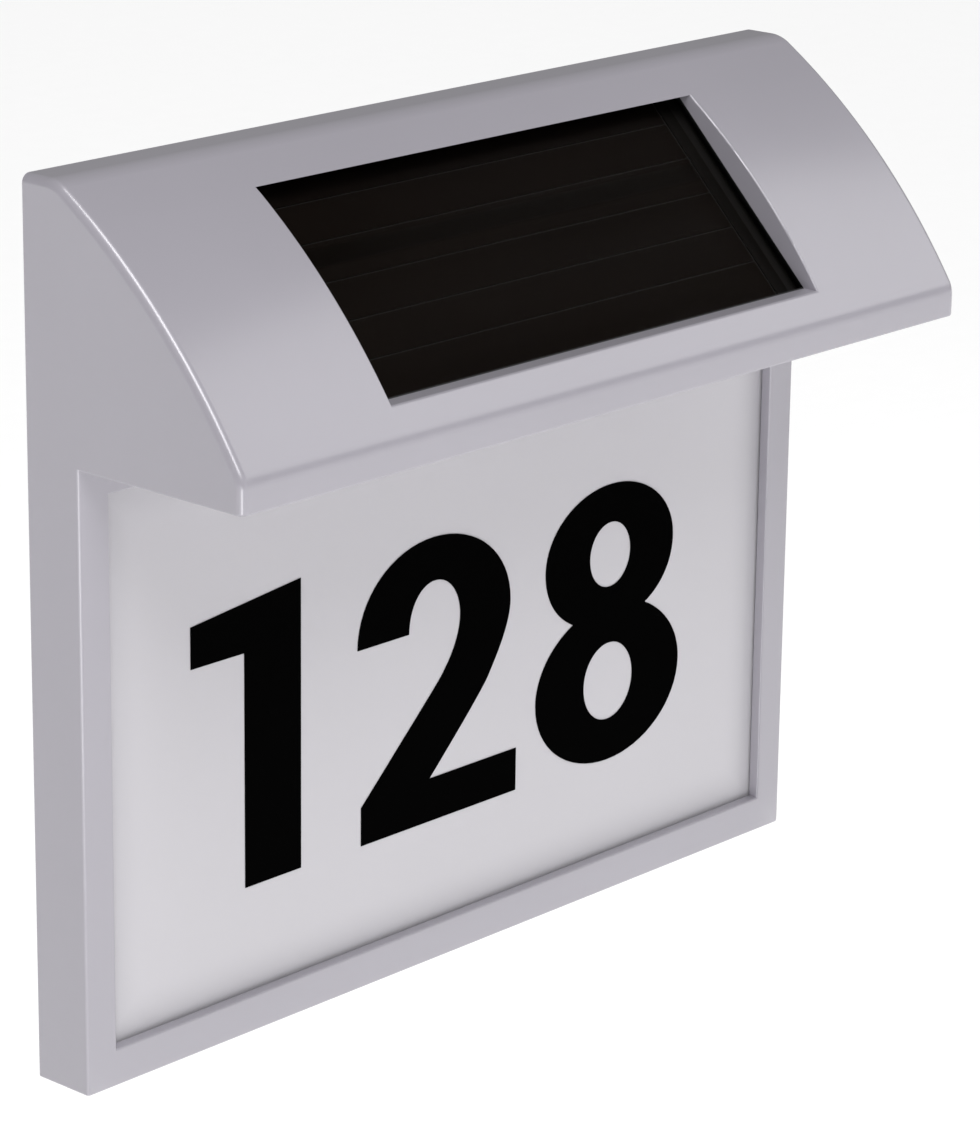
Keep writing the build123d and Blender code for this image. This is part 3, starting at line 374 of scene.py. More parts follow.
# Number, in millimetres from the middle and the bottom edge of the sign.
ONE = [[(-69.9, 74.3), (-69.9, 82.4), (-41.4, 85.6), (-41.4, 27.8), (-56.2, 27.8), (-56.2, 74.3)]]
TWO = [[
    (-26.1, 67.5, 0, 0, 0, 10.4), (-5, 85.7, -11.8, 0, 12.4, 0), (17.1, 68.1, 0, 9.8, 0, -4.6),
    (10.7, 53.6, 3.0, 4.5, -2.6, -3.6), (-5.9, 36.5), (19.3, 36.5), (19.3, 27.6), (-25, 27.6),
    (-25, 35.4), (-4.1, 55.4, -4.5, -4.4, 2.9, 2.9), (2.6, 68.4, 0, -5.2, 0, 4.8),
    (-4.7, 76.9, 4.0, 0, -4.1, 0), (-11.9, 67.5, 0, 5.4, 0, 0)]]
EIGHT = [
    [(69, 43.8, 0, -9.33, 0, 5.95), (58, 58.3, 6.65, -3.06, 5.64, 2.71), (66.5, 70.8, 0, -5.06, 0, 8.17),
     (47, 85.6, 10.77, 0, -10.77, 0), (27.5, 70.8, 0, 8.17, 0, -5.06),
     (36, 58.3, -5.64, 2.71, -6.65, -3.06), (25, 43.8, 0, 5.95, 0, -9.33), (47, 26.9, -12.15, 0, 12.15, 0)],
    oval(47, 70.8, 6.2, 6.8), oval(47, 43.9, 7.5, 8.2)]


# ---------------- modelling helpers
SHARP_ANGLE = 0.3  # in radians: below it two faces count as one rounded or flat surface


def edit(obj):
    """Opens one object for editing, with nothing in it selected."""
    activate(obj)
    bpy.ops.object.mode_set(mode="EDIT")
    bpy.ops.mesh.select_all(action="DESELECT")


def finish_edit():
    """Closes the open object."""
    bpy.ops.object.mode_set(mode="OBJECT")


def pick_all():
    """Selects everything in the open object."""
    bpy.ops.mesh.select_all(action="SELECT")


def pick(kind, test, sharp=False):
    """Selects the edges or faces whose corners, in millimetres, pass the test.

    With sharp, only the edges where two faces meet at an angle."""
    bpy.ops.mesh.select_mode(type=kind)
    bpy.ops.mesh.select_all(action="DESELECT")
    mesh = bpy.context.object.data
    shape = bmesh.from_edit_mesh(mesh)
    found = False
    for item in shape.edges if kind == "EDGE" else shape.faces:
        corners = [vertex.co / MM for vertex in item.verts]
        if test(corners) and not (sharp and item.calc_face_angle(0.0) < SHARP_ANGLE):
            item.select_set(True)
            found = True
    bmesh.update_edit_mesh(mesh)
    if not found:
        raise RuntimeError(f"nothing is picked on {bpy.context.object.name}")


def lies(corners, axis, low, high=None, near=0.004):
    """Whether all corners lie between two values along an axis, or at one value."""
    high = low if high is None else high
    return all(low - near <= corner[axis] <= high + near for corner in corners)


def at(*place, **reach):
    """The test that lies makes, for pick."""
    return lambda corners: lies(corners, *place, **reach)


def lies_at(corners, axis, *values):
    """Whether all corners lie at one of some values along an axis."""
    return any(lies(corners, axis, value) for value in values)


def push(x=0.0, y=0.0, z=0.0):
    """Extrudes what is picked by a step in millimetres."""
    bpy.ops.mesh.extrude_region_move(TRANSFORM_OT_translate={"value": (x * MM, y * MM, z * MM)})


def turn_up(centre, degrees, steps):
    """Spins the picked edge about a line along X, through a centre (Y, Z) in millimetres."""
    bpy.ops.mesh.spin(
        steps=steps, angle=-math.radians(degrees), center=(0, centre[0] * MM, centre[1] * MM),
        axis=(1, 0, 0))


def slice_at(axis, value):
    """Cuts the picked faces where one coordinate has a value."""
    place, normal = [0.0, 0.0, 0.0], [0.0, 0.0, 0.0]
    place[axis], normal[axis] = value * MM, 1.0
    bpy.ops.mesh.bisect(plane_co=place, plane_no=normal)


def round_edges(test, radius, segments, sharp=False):
    """Bevels the edges that pass the test."""
    pick("EDGE", test, sharp)
    bpy.ops.mesh.bevel(
        offset=radius * MM, offset_type="OFFSET", segments=segments, profile=0.5, affect="EDGES",
        clamp_overlap=False, loop_slide=False)


def inset_steps(*steps):
    """Insets the picked face and pushes it along X, for each pair of an inset and a push."""
    for inset, rise in steps:
        bpy.ops.mesh.inset(thickness=inset * MM)
        push(x=rise)


def close_up(merge=0.001):
    """Merges doubled corners of the open object and turns its faces outwards."""
    pick_all()
    bpy.ops.mesh.remove_doubles(threshold=merge * MM)
    bpy.ops.mesh.normals_make_consistent(inside=False)
    bpy.ops.mesh.select_all(action="DESELECT")


def apply_place(obj):
    """Puts an object's place, turn and size into its mesh."""
    activate(obj)
    bpy.ops.object.transform_apply(location=True, rotation=True, scale=True)
    return obj


def add_block(x_span, y_span, z_span, slope=None):
    """A box between values in millimetres, turned with a slope if one is given."""
    spans = (x_span, y_span, z_span)
    centre = Vector([(low + high) / 2 for low, high in spans]) * MM
    tilt = slope.to_euler() if slope else (0, 0, 0)
    place = slope @ centre if slope else centre
    deselect()
    bpy.ops.mesh.primitive_cube_add(
        size=1, location=place, rotation=tilt, scale=[(high - low) * MM for low, high in spans])
    return apply_place(bpy.context.object)


def add_rod(radius, start, end, sides=12, end_radius=None):
    """A rod or cone between two places in millimetres."""
    start, end = Vector(start) * MM, Vector(end) * MM
    line = end - start
    deselect()
    bpy.ops.mesh.primitive_cone_add(
        vertices=sides, radius1=radius * MM, radius2=(end_radius or radius) * MM,
        depth=line.length, location=(start + end) / 2, rotation=line.to_track_quat("Z", "Y").to_euler())
    return apply_place(bpy.context.object)


def join(pieces):
    """Makes one object of several."""
    activate(pieces[0])
    for piece in pieces[1:]:
        piece.select_set(True)
    if len(pieces) > 1:
        bpy.ops.object.join()
    return pieces[0]


def modify(obj, kind, **values):
    """Puts a modifier on the active object and applies it."""
    step = obj.modifiers.new("step", kind)
    for name, value in values.items():
        setattr(step, name, value)
    bpy.ops.object.modifier_apply(modifier=step.name)


def boolean(target, tools, operation, itself=True):
    """Cuts the tools out of the target, or fuses them with it, and removes them."""
    tool = join(tools)
    activate(target)
    modify(target, "BOOLEAN", operation=operation, object=tool, solver="EXACT", use_self=itself)
    bpy.data.objects.remove(tool, do_unlink=True)
    return target


def smooth(obj, degrees=30):
    """Shades the rounded parts smooth and keeps the flat ones flat."""
    activate(obj)
    bpy.ops.object.shade_smooth_by_angle(angle=math.radians(degrees))
    modify(obj, "WEIGHTED_NORMAL", keep_sharp=True, weight=100)
    return obj


def ready(obj, name, body, slot, material, *nodes):
    """Names and finishes a piece and lets it stand for construction nodes."""
    obj.name = name
    obj.data.name = name
    obj.data.materials.clear()
    obj.data.materials.append(material)
    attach(obj, body)
    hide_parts(*nodes)


def softened_copy(node, test, radius, segments):
    """A copy of a construction node, cleared of doubled corners and of cuts in its flats.

    Its sharp edges are rounded where they pass the test."""
    obj = add_object(node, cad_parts[node].data.copy())
    activate(obj)
    bpy.ops.mesh.customdata_custom_splitnormals_clear()
    edit(obj)
    pick_all()
    bpy.ops.mesh.remove_doubles(threshold=0.0008 * MM)
    bpy.ops.mesh.dissolve_limited(angle_limit=math.radians(0.4))
    finish_edit()
    edit(obj)
    round_edges(test, radius, segments, sharp=True)
    finish_edit()
    return smooth(obj)


def turned_onto(direction, place):
    """The move that stands an upright piece on a place, facing a direction."""
    turn = Vector(direction).normalized().to_track_quat("Z", "Y").to_matrix().to_4x4()
    return Matrix.Translation(Vector(place) * MM) @ turn


def copies(model, moves):
    """One object made of copies of a model, which is then removed."""
    pieces = []
    for move in moves:
        pieces.append(add_object(model.name, model.data.copy()))
        pieces[-1].data.transform(move)
    bpy.data.objects.remove(model, do_unlink=True)
    return join(pieces)


def screw_head(shank, head, height, flat):
    """The head of a screw: a cone up to the origin, or a rounded disc on it, with a cross recess."""
    if flat:
        body = add_rod(shank, (0, 0, -height), (0, 0, 0), 40, head)
    else:
        body = add_rod(head, (0, 0, 0), (0, 0, height), 40)
        edit(body)
        round_edges(at(2, height), 0.55 * height, 5)
        finish_edit()
    top = 0.0 if flat else height
    arm, slot, depth = 0.56 * head, 0.13 * head, 0.6 * height
    recess = [
        add_block((-arm, arm), (-slot, slot), (top - depth, top + 1)),
        add_block((-slot, slot), (-arm, arm), (top - depth, top + 1)),
        add_rod(0.05 * head, (0, 0, top - 1.25 * depth), (0, 0, top + 0.2), 8, 0.3 * head)]
    return boolean(body, recess, "DIFFERENCE")


def screw_thread(core, outer, pitch, turns, start):
    """The ridge of a thread round a core, wound upwards from a height."""
    half_ridge, middle = 0.3 * pitch, core + 0.1 * pitch
    deselect()
    bpy.ops.mesh.primitive_circle_add(
        vertices=3, radius=half_ridge * MM, fill_type="NOTHING", rotation=(math.radians(90), 0, 0),
        location=(middle * MM, 0, start * MM))
    ridge = apply_place(bpy.context.object)
    edit(ridge)
    for vertex in bmesh.from_edit_mesh(ridge.data).verts:
        is_crest = vertex.co.x / MM - middle > 0.4 * half_ridge
        vertex.co.x = (outer if is_crest else core - 0.05) * MM
    bmesh.update_edit_mesh(ridge.data)
    finish_edit()
    modify(ridge, "SCREW", axis="Z", screw_offset=pitch * MM, iterations=turns, steps=20, render_steps=20)
    edit(ridge)
    pick_all()
    bpy.ops.mesh.fill_holes(sides=4)
    close_up(0.0002)
    finish_edit()
    return ridge


def cross_screw(shank, length, head, height, flat=False):
    """A screw that stands on the seat of its head, or whose flat head ends at the origin."""
    body = screw_head(shank, head, height, flat)
    seat = -height if flat else 0.0
    core, tip, pitch = 0.78 * shank, 0.8 * shank, 0.7 * shank
    start = tip - length
    rod = add_rod(core, (0, 0, start), (0, 0, seat + 0.05), 20)
    cone = add_rod(0.2 * core, (0, 0, -length), (0, 0, start + 0.02), 20, core)
    turns = max(int((length + seat - tip) / pitch) - 1, 1)
    ridge = screw_thread(core, shank, pitch, turns, start)
    return smooth(join([body, rod, cone, ridge]), 35)


# ---------------- form of the hood, in millimetres
HALF_WIDTH, HALF_HEIGHT, BODY_DEPTH, HOOD_DEPTH = 100.0, 85.0, 13.2, 54.0
FLOOR, LIP_TOP, TOP_DEPTH, BULGE, WALL = 34.0, 40.0, 8.05, 3.7, 2.0
TOP_ROUND, LIP_ROUND, END_ROUND = 8.0, 5.5, 1.7
BODY_ROUND, LOWER_BREAK, RIM_ROUND = 0.7, 0.5, 0.4
WINDOW_HALF, WINDOW_LOW, WINDOW_HIGH = 59.7, 45.3, 79.1
SIGN_HALF, SIGN_LOW, SIGN_HIGH, FLANGE_BACK = 92.7, -77.7, 28.2, -11.0
BODY_TOP, POCKET_DEPTH, OVERLAP = 60.0, 30, 0.2
COVER_FRONT, REBATE_WALL, BEHIND = -2.4, 1.0, 4.0
COVER_SCREW_X, COVER_SCREW_Z = 86, (46, 74)
TRAY_SCREW_X, TRAY_SCREW_ENDS = 67.2, (-15, 15)
LAMP_SCREW_X = 47.8


def roof_circle():
    """Centre (Y, Z) and radius of the arc of the roof."""
    low, high = Vector((-HOOD_DEPTH, LIP_TOP)), Vector((-TOP_DEPTH, HALF_HEIGHT))
    chord = high - low
    radius = (chord.length ** 2 / 4 + BULGE ** 2) / (2 * BULGE)
    inward = Vector((chord.y, -chord.x)).normalized()
    return (low + high) / 2 + inward * (radius - BULGE), radius


ROOF_CENTRE, ROOF_RADIUS = roof_circle()


def roof_y(z):
    """Y of the roof at a height."""
    return ROOF_CENTRE.x - math.sqrt(ROOF_RADIUS ** 2 - (z - ROOF_CENTRE.y) ** 2)


def roof_angle(y, z):
    """Angle at the roof's centre, from straight forward up to a place."""
    return math.degrees(math.atan2(z - ROOF_CENTRE.y, ROOF_CENTRE.x - y))


def window_slope():
    """Frame on the rim of the window, where Y climbs the roof and Z points out of it, in metres.

    With it come the length of the rim and the direction of the climb."""
    low, high = (Vector((0, roof_y(z), z)) for z in (WINDOW_LOW, WINDOW_HIGH))
    climb = (high - low).normalized()
    turn = Matrix.Rotation(math.atan2(climb.z, climb.y), 4, "X")
    return Matrix.Translation((low + high) / 2 * MM) @ turn, (high - low).length, climb


# Along the slope, and square to it, from the middle of the window's rim.
SLOPE, RIM_LENGTH, CLIMB = window_slope()
GLASS_SINK, GLASS_HALF, GLASS_GAP, TRAY_GAP = 3.0, 62.0, 0.3, 2.1
GLASS_SHIFT = GLASS_SINK * CLIMB.y / CLIMB.z
GLASS_LOW, GLASS_HIGH = -RIM_LENGTH / 2 + GLASS_SHIFT - 2.5, RIM_LENGTH / 2 + GLASS_SHIFT + 3.0
GLASS_MIDDLE = (GLASS_LOW + GLASS_HIGH) / 2
SEAT_TOP, POCKET_FLOOR, TRAY_TOP, SEAT_FOOT, TRAY_SCREW_SEAT = -2.4, -2.7, -4.1, -6.3, -8.3


def hood_block(inset, half_width, body_front, low, back, hood_low, steps):
    """A full block with the outline of the hood and body, this far inside the outer face.

    The steps are those of the arcs at the top edge, above, in and below the window, and at the lip."""
    top = HALF_HEIGHT - inset
    top_centre_z = HALF_HEIGHT - TOP_ROUND
    reach = math.sqrt((ROOF_RADIUS - TOP_ROUND) ** 2 - (top_centre_z - ROOF_CENTRE.y) ** 2)
    top_centre = Vector((ROOF_CENTRE.x - reach, top_centre_z))
    lip_centre_y = LIP_ROUND - HOOD_DEPTH
    rise = math.sqrt((ROOF_RADIUS - LIP_ROUND) ** 2 - (ROOF_CENTRE.x - lip_centre_y) ** 2)
    lip_centre = Vector((lip_centre_y, ROOF_CENTRE.y + rise))
    start, end = roof_angle(*top_centre), roof_angle(*lip_centre)
    above = roof_angle(roof_y(WINDOW_HIGH), WINDOW_HIGH)
    below = roof_angle(roof_y(WINDOW_LOW), WINDOW_LOW)
    deselect()
    bpy.ops.mesh.primitive_plane_add(size=1, location=(0, (top_centre.x + back) / 2 * MM, top * MM))
    bpy.context.object.scale = (2 * half_width * MM, (back - top_centre.x) * MM, 1)
    block = apply_place(bpy.context.object)
    edit(block)
    pick("EDGE", at(1, top_centre.x))
    arcs = (
        (top_centre, 90 - start), (ROOF_CENTRE, start - above), (ROOF_CENTRE, above - below),
        (ROOF_CENTRE, below - end), (lip_centre, end))
    for (centre, degrees), count in zip(arcs, steps):
        turn_up(centre, degrees, count)
    push(z=hood_low - lip_centre.y)
    if low < hood_low:
        push(y=HOOD_DEPTH - inset - body_front)
        push(z=low - hood_low)
        push(y=body_front + back)
    else:
        push(y=HOOD_DEPTH - inset + back)
    push(z=top - low)
    close_up()
    for side in (-half_width, half_width):
        pick("EDGE", at(0, side))
        bpy.ops.mesh.edge_face_add()
    close_up()
    finish_edit()
    return block


def hood_outside():
    """The hood as a full block, with pockets for the window and the lens."""
    block = hood_block(0.0, HALF_WIDTH, BODY_DEPTH, FLOOR, 0.0, FLOOR, (10, 2, 26, 5, 8))
    edit(block)

    def window_strip(corners):
        middle = sum(corners, Vector()) / len(corners)
        return lies(corners, 2, WINDOW_LOW, WINDOW_HIGH) and middle.y < -BODY_DEPTH

    def in_window(corners):
        return window_strip(corners) and lies(corners, 0, -WINDOW_HALF, WINDOW_HALF)

    def window_rim(corners):
        on_roof = all(abs(corner.y - roof_y(corner.z)) < 0.02 for corner in corners)
        beside = lies_at(corners, 0, -WINDOW_HALF, WINDOW_HALF)
        return on_roof and in_window(corners) and (beside or lies_at(corners, 2, WINDOW_LOW, WINDOW_HIGH))

    def end_edge(corners):
        at_end = lies_at(corners, 0, -HALF_WIDTH, HALF_WIDTH)
        return at_end and not lies(corners, 2, FLOOR) and not lies(corners, 1, 0)

    round_edges(end_edge, END_ROUND, 6)
    round_edges(lambda corners: lies(corners, 2, FLOOR) and not lies(corners, 1, 0), LOWER_BREAK, 2)
    for side in (-WINDOW_HALF, WINDOW_HALF):
        pick("FACE", window_strip)
        slice_at(0, side)
    pick("FACE", in_window)
    push(y=POCKET_DEPTH)
    level_floor()
    lens_low, lens_high = LENS_Y - LENS_HALF_WIDTH, LENS_Y + LENS_HALF_WIDTH
    for axis, value in ((0, -LENS_HALF), (0, LENS_HALF), (1, lens_low), (1, lens_high)):
        pick("FACE", at(2, FLOOR))
        slice_at(axis, value)
    pick("FACE", lambda corners: lies(corners, 2, FLOOR) and lies(corners, 0, -LENS_HALF, LENS_HALF)
         and lies(corners, 1, lens_low, lens_high))
    push(z=WALL + OVERLAP)
    round_edges(window_rim, RIM_ROUND, 3)
    finish_edit()
    return block


def body_outside():
    """The flat body as a full block, with a pocket for the sign."""
    block = add_block((-HALF_WIDTH, HALF_WIDTH), (-BODY_DEPTH, 0), (-HALF_HEIGHT, BODY_TOP))
    edit(block)

    def in_opening(corners):
        inside = lies(corners, 0, -SIGN_HALF, SIGN_HALF) and lies(corners, 2, SIGN_LOW, SIGN_HIGH)
        return lies(corners, 1, -BODY_DEPTH) and inside

    def sign_rim(corners):
        beside = lies_at(corners, 0, -SIGN_HALF, SIGN_HALF)
        return in_opening(corners) and (beside or lies_at(corners, 2, SIGN_LOW, SIGN_HIGH))

    def upright(corners):
        return lies_at(corners, 0, -HALF_WIDTH, HALF_WIDTH) and lies(corners, 1, -BODY_DEPTH)

    round_edges(upright, BODY_ROUND, 5)
    round_edges(lambda corners: lies(corners, 2, -HALF_HEIGHT) and not lies(corners, 1, 0), LOWER_BREAK, 2)
    for axis, value in ((0, -SIGN_HALF), (0, SIGN_HALF), (2, SIGN_LOW), (2, SIGN_HIGH)):
        pick("FACE", at(1, -BODY_DEPTH))
        slice_at(axis, value)
    pick("FACE", in_opening)
    push(y=BODY_DEPTH + FLANGE_BACK + OVERLAP)
    round_edges(sign_rim, RIM_ROUND, 3)
    finish_edit()
    return block


def level_floor():
    """Moves the floor of the window's pocket onto a plane just under the seal of the glass."""
    mesh = bpy.context.object.data
    shape = bmesh.from_edit_mesh(mesh)
    down = SLOPE.inverted()
    for vertex in shape.verts:
        if vertex.select:
            depth = (down @ vertex.co).z / MM - POCKET_FLOOR
            vertex.co.y += depth / CLIMB.z * MM
    bmesh.update_edit_mesh(mesh)


def glass_well():
    """The walls round the window inside, down to the seat of the glass."""
    half = WINDOW_HALF + WALL
    well = add_block((-half, half), (-HOOD_DEPTH, 0), (WINDOW_LOW - WALL, WINDOW_HIGH + WALL))
    edit(well)
    pick_all()
    bpy.ops.mesh.bisect(
        plane_co=SLOPE @ Vector((0, 0, SEAT_TOP * MM)), plane_no=SLOPE.to_3x3() @ Vector((0, 0, 1)),
        use_fill=True, clear_inner=True)
    close_up()
    finish_edit()
    return well


def housing_hollow():
    """Everything that is cut out of the housing's full block."""
    hollow = hood_block(
        WALL, HALF_WIDTH - WALL, -FLANGE_BACK, WALL - HALF_HEIGHT, BEHIND, FLOOR + WALL, (6, 1, 13, 2, 4))
    past_front, boss_back, rib_back, half_rib = -60, -5.2, -7.2, 0.7
    rebate_x, rebate_z = HALF_WIDTH - REBATE_WALL, HALF_HEIGHT - REBATE_WALL
    stays, seats = [glass_well()], []
    for side in (-1, 1):
        x = side * COVER_SCREW_X
        for z in COVER_SCREW_Z:
            stays.append(add_rod(3.5, (x, past_front, z), (x, boss_back, z)))
            stays.append(add_block(
                sorted((x, side * rebate_x)), (past_front, rib_back), (z - half_rib, z + half_rib)))
        for end in TRAY_SCREW_ENDS:
            centre = Vector((side * TRAY_SCREW_X, GLASS_MIDDLE + end, 0)) * MM
            top, foot = (SLOPE @ (centre + Vector((0, 0, height * MM))) for height in (8, SEAT_FOOT))
            stays.append(add_rod(3.0, top / MM, foot / MM))
        x = side * LAMP_SCREW_X
        stays.append(add_rod(2.8, (x, LENS_Y, FLOOR + 1), (x, LENS_Y, 40.1)))
    boolean(hollow, stays, "DIFFERENCE")
    for gap, top in ((GLASS_GAP, SEAT_TOP), (TRAY_GAP, TRAY_TOP)):
        half = GLASS_HALF + gap
        seats.append(add_block((-half, half), (GLASS_LOW - gap, GLASS_HIGH + gap), (SEAT_FOOT, top), SLOPE))
    seats.append(add_block((-rebate_x, rebate_x), (COVER_FRONT, BEHIND), (-rebate_z, rebate_z)))
    for side in (-1, 1):
        x = side * COVER_SCREW_X
        for z in COVER_SCREW_Z:
            seats.append(add_rod(1.43, (x, -20.2, z), (x, BEHIND, z)))
        x = side * LAMP_SCREW_X
        seats.append(add_rod(0.98, (x, LENS_Y, 35), (x, LENS_Y, 41)))
    return boolean(hollow, seats, "UNION")


# ---------------- settings
def colour(name, description, default):
    """A colour that can be set."""
    return FloatVectorProperty(
        name=name, description=description, default=default, subtype="COLOR", min=0, max=1)


def amount(name, description, default, **kind):
    """A number that can be set."""
    return FloatProperty(name=name, description=description, default=default, **kind)


class SignFinish(bpy.types.PropertyGroup):
    """Colours of the sign."""

    silver: colour("Silver", "Colour of the housing", (0.382, 0.365, 0.41))
    opal: colour("Opal", "Colour of the sign panel", (0.588, 0.573, 0.604))
    # The colour of the painted shade on the opal panel along its frame.
    opal_painted_shade: colour("Opal edge", "Colour of the sign panel along its frame", (0.45, 0.44, 0.47))
    number: colour("Number", "Colour of the number", (0.0015, 0.0015, 0.0015))
    cell: colour("Cell", "Colour of the solar cells", (0.0042, 0.0025, 0.0018))
    cover: colour("Cover", "Colour of the rear cover", (0.022, 0.022, 0.024))


class SignStage(bpy.types.PropertyGroup):
    """Camera and light."""

    lens: amount("Lens", "Focal length of the camera", 140.3, unit="CAMERA")
    floor_drop: amount("Floor drop", "Distance from the sign down to the floor", 0.45, unit="LENGTH")
    world: amount("Room light", "Strength of the light from all round", 0.19, min=0)
    floor_light: amount("Floor light", "Brightness of the light over the floor", 0.82, min=0)
    key: amount("Key light", "Power of the large light in front", 2.0, unit="POWER")
    side: amount("Side light", "Power of the large light on the right", 5.5, unit="POWER")
    strip: amount("Strip light", "Power of the narrow light above", 14.5, unit="POWER")
    low: amount("Low light", "Power of the small light low on the left", 2.4, unit="POWER")


class HouseSign(bpy.types.PropertyGroup):
    """Everything that can be set."""

    finish: PointerProperty(type=SignFinish)
    stage: PointerProperty(type=SignStage)


def settings():
    """The settings in use."""
    return bpy.context.scene.house_sign


# ---------------- operators
class SIGN_OT_housing(bpy.types.Operator):
    """Finish the silver housing"""

    bl_idname = "sign.housing"
    bl_label = "Housing"

    def execute(self, context):
        lacquer = silver_lacquer(settings().finish.silver)
        outside = boolean(hood_outside(), [body_outside()], "UNION", itself=False)
        housing = boolean(outside, [housing_hollow()], "DIFFERENCE", itself=False)
        edit(housing)
        close_up(0.002)
        finish_edit()
        ready(smooth(housing), "housing", "sign", "housing_silver", lacquer, "front_housing")
        return {"FINISHED"}


class SIGN_OT_face(bpy.types.Operator):
    """Finish the opal panel and put the number on it"""

    bl_idname = "sign.face"
    bl_label = "Sign face"

    def execute(self, context):
        finish = settings().finish
        dress(opal_sheet(finish.opal, finish.opal_painted_shade), "sign_panel")
        foam = moulded("foam", (0.03, 0.03, 0.031), 0.9, grain=2600, relief=0.7)
        dress(foam, "sign_panel_seal", "rear_cover_seal")
        vinyl = moulded("black vinyl", finish.number, 0.45, grain=2600, relief=0.05, specular_ior_level=0.0)
        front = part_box("sign_panel")[0].y
        lowest = CAD_BOX[0].z
        place = Matrix.Translation((-1 * MM, front - 0.06 * MM, lowest + 0.47 * MM))
        for name, outlines in (("digit_one", ONE), ("digit_two", TWO), ("digit_eight", EIGHT)):
            piece = glyph(name, outlines, 0.16 * MM)
            piece.data.transform(place @ Matrix.Rotation(math.radians(90), 4, "X"))
            piece.data.materials.append(vinyl)
            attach(piece, "sign")
        return {"FINISHED"}


class SIGN_OT_solar(bpy.types.Operator):
    """Finish the solar panel and what holds it"""

    bl_idname = "sign.solar"
    bl_label = "Solar panel"

    def execute(self, context):
        dress(window_glass((0.97, 0.97, 0.96)), "solar_glass")
        dress(cell_film(settings().finish.cell, (0.02, 0.018, 0.017)), "solar_cells")
        dress(turned_metal("printed contact", (0.014, 0.012, 0.011), 0.6), "solar_contacts")
        backing = moulded("backing film", (0.012, 0.011, 0.011), 0.5, relief=0.1, specular_ior_level=0.2)
        dress(backing, "solar_backing")
        rubber = moulded("black rubber", (0.012, 0.012, 0.013), 0.75, relief=0.4)
        dress(rubber, "solar_glass_seal", "battery_door_seal")
        dress(moulded("tray plastic", (0.02, 0.02, 0.021), 0.5), "solar_tray")
        return {"FINISHED"}


class SIGN_OT_light(bpy.types.Operator):
    """Finish the lens under the hood and make its lamps"""

    bl_idname = "sign.light"
    bl_label = "Light"

    def execute(self, context):
        dress(moulded("white board", (0.78, 0.79, 0.77), 0.42, relief=0.1), "lamp_board")
        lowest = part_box("light_lens")[0].z / MM
        lens = softened_copy("light_lens", at(2, lowest, near=0.02), 0.4, 4)
        ready(lens, "lens", "sign", "lens_clear", frosted_lens((0.95, 0.96, 0.97)), "light_lens")
        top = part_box("lamps")[1].z / MM
        places = [(step * HALF_LAMP_STEP, LENS_Y, top) for step in (-3, -1, 1, 3)]
        lamps = copies(self.lamp(), [Matrix.Translation(Vector(place) * MM) for place in places])
        material = lamp_case((0.82, 0.82, 0.79), (0.85, 0.62, 0.10))
        ready(lamps, "lamp_set", "sign", "lamp_yellow", material, "lamps")
        return {"FINISHED"}

    def lamp(self):
        """One lamp that hangs from the origin: a case with a cup that holds a dome."""
        underside = -1.9
        case = add_block((-1.75, 1.75), (-1.4, 1.4), (underside, 0))
        edit(case)
        round_edges(
            lambda corners: lies(corners, 0, corners[0].x) and lies(corners, 1, corners[0].y), 0.25, 3)
        pick("FACE", at(2, underside))
        bpy.ops.mesh.inset(thickness=0.12 * MM)
        finish_edit()
        cup = add_rod(0.95, (0, 0, -2.4), (0, 0, -1.5), 32, 1.05)
        boolean(case, [cup], "DIFFERENCE")
        deselect()
        bpy.ops.mesh.primitive_uv_sphere_add(segments=28, ring_count=14, radius=1.0 * MM)
        dome = bpy.context.object
        dome.scale = (1, 1, 0.42)
        dome.location = (0, 0, -1.48 * MM)
        return smooth(join([case, apply_place(dome)]), 40)


class SIGN_OT_back(bpy.types.Operator):
    """Finish the rear cover, the battery door and the switch, and break their edges"""

    bl_idname = "sign.back"
    bl_label = "Back"

    def execute(self, context):
        cover = settings().finish.cover
        grained = moulded("spark grain", cover, 0.55, grain=2200, relief=0.9, spread=0.2)
        for node, name, body, face, radius in (
                ("rear_cover", "back_cover", "sign", 0.0, 0.35), ("battery_door", "door", "door", -0.3, 0.25)):
            piece = softened_copy(node, at(1, face), radius, 2)
            ready(piece, name, body, "cover_black", grained, node)
        dress(moulded("switch case", (0.018, 0.018, 0.018), 0.45), "switch_case")
        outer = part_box("switch_slider")[1].y / MM
        slider = softened_copy("switch_slider", at(1, outer, near=0.02), 0.12, 2)
        nylon = moulded("switch slider", (0.62, 0.62, 0.60), 0.45, relief=0.4)
        ready(slider, "slider_knob", "slider", "switch_white", nylon, "switch_slider")
        return {"FINISHED"}


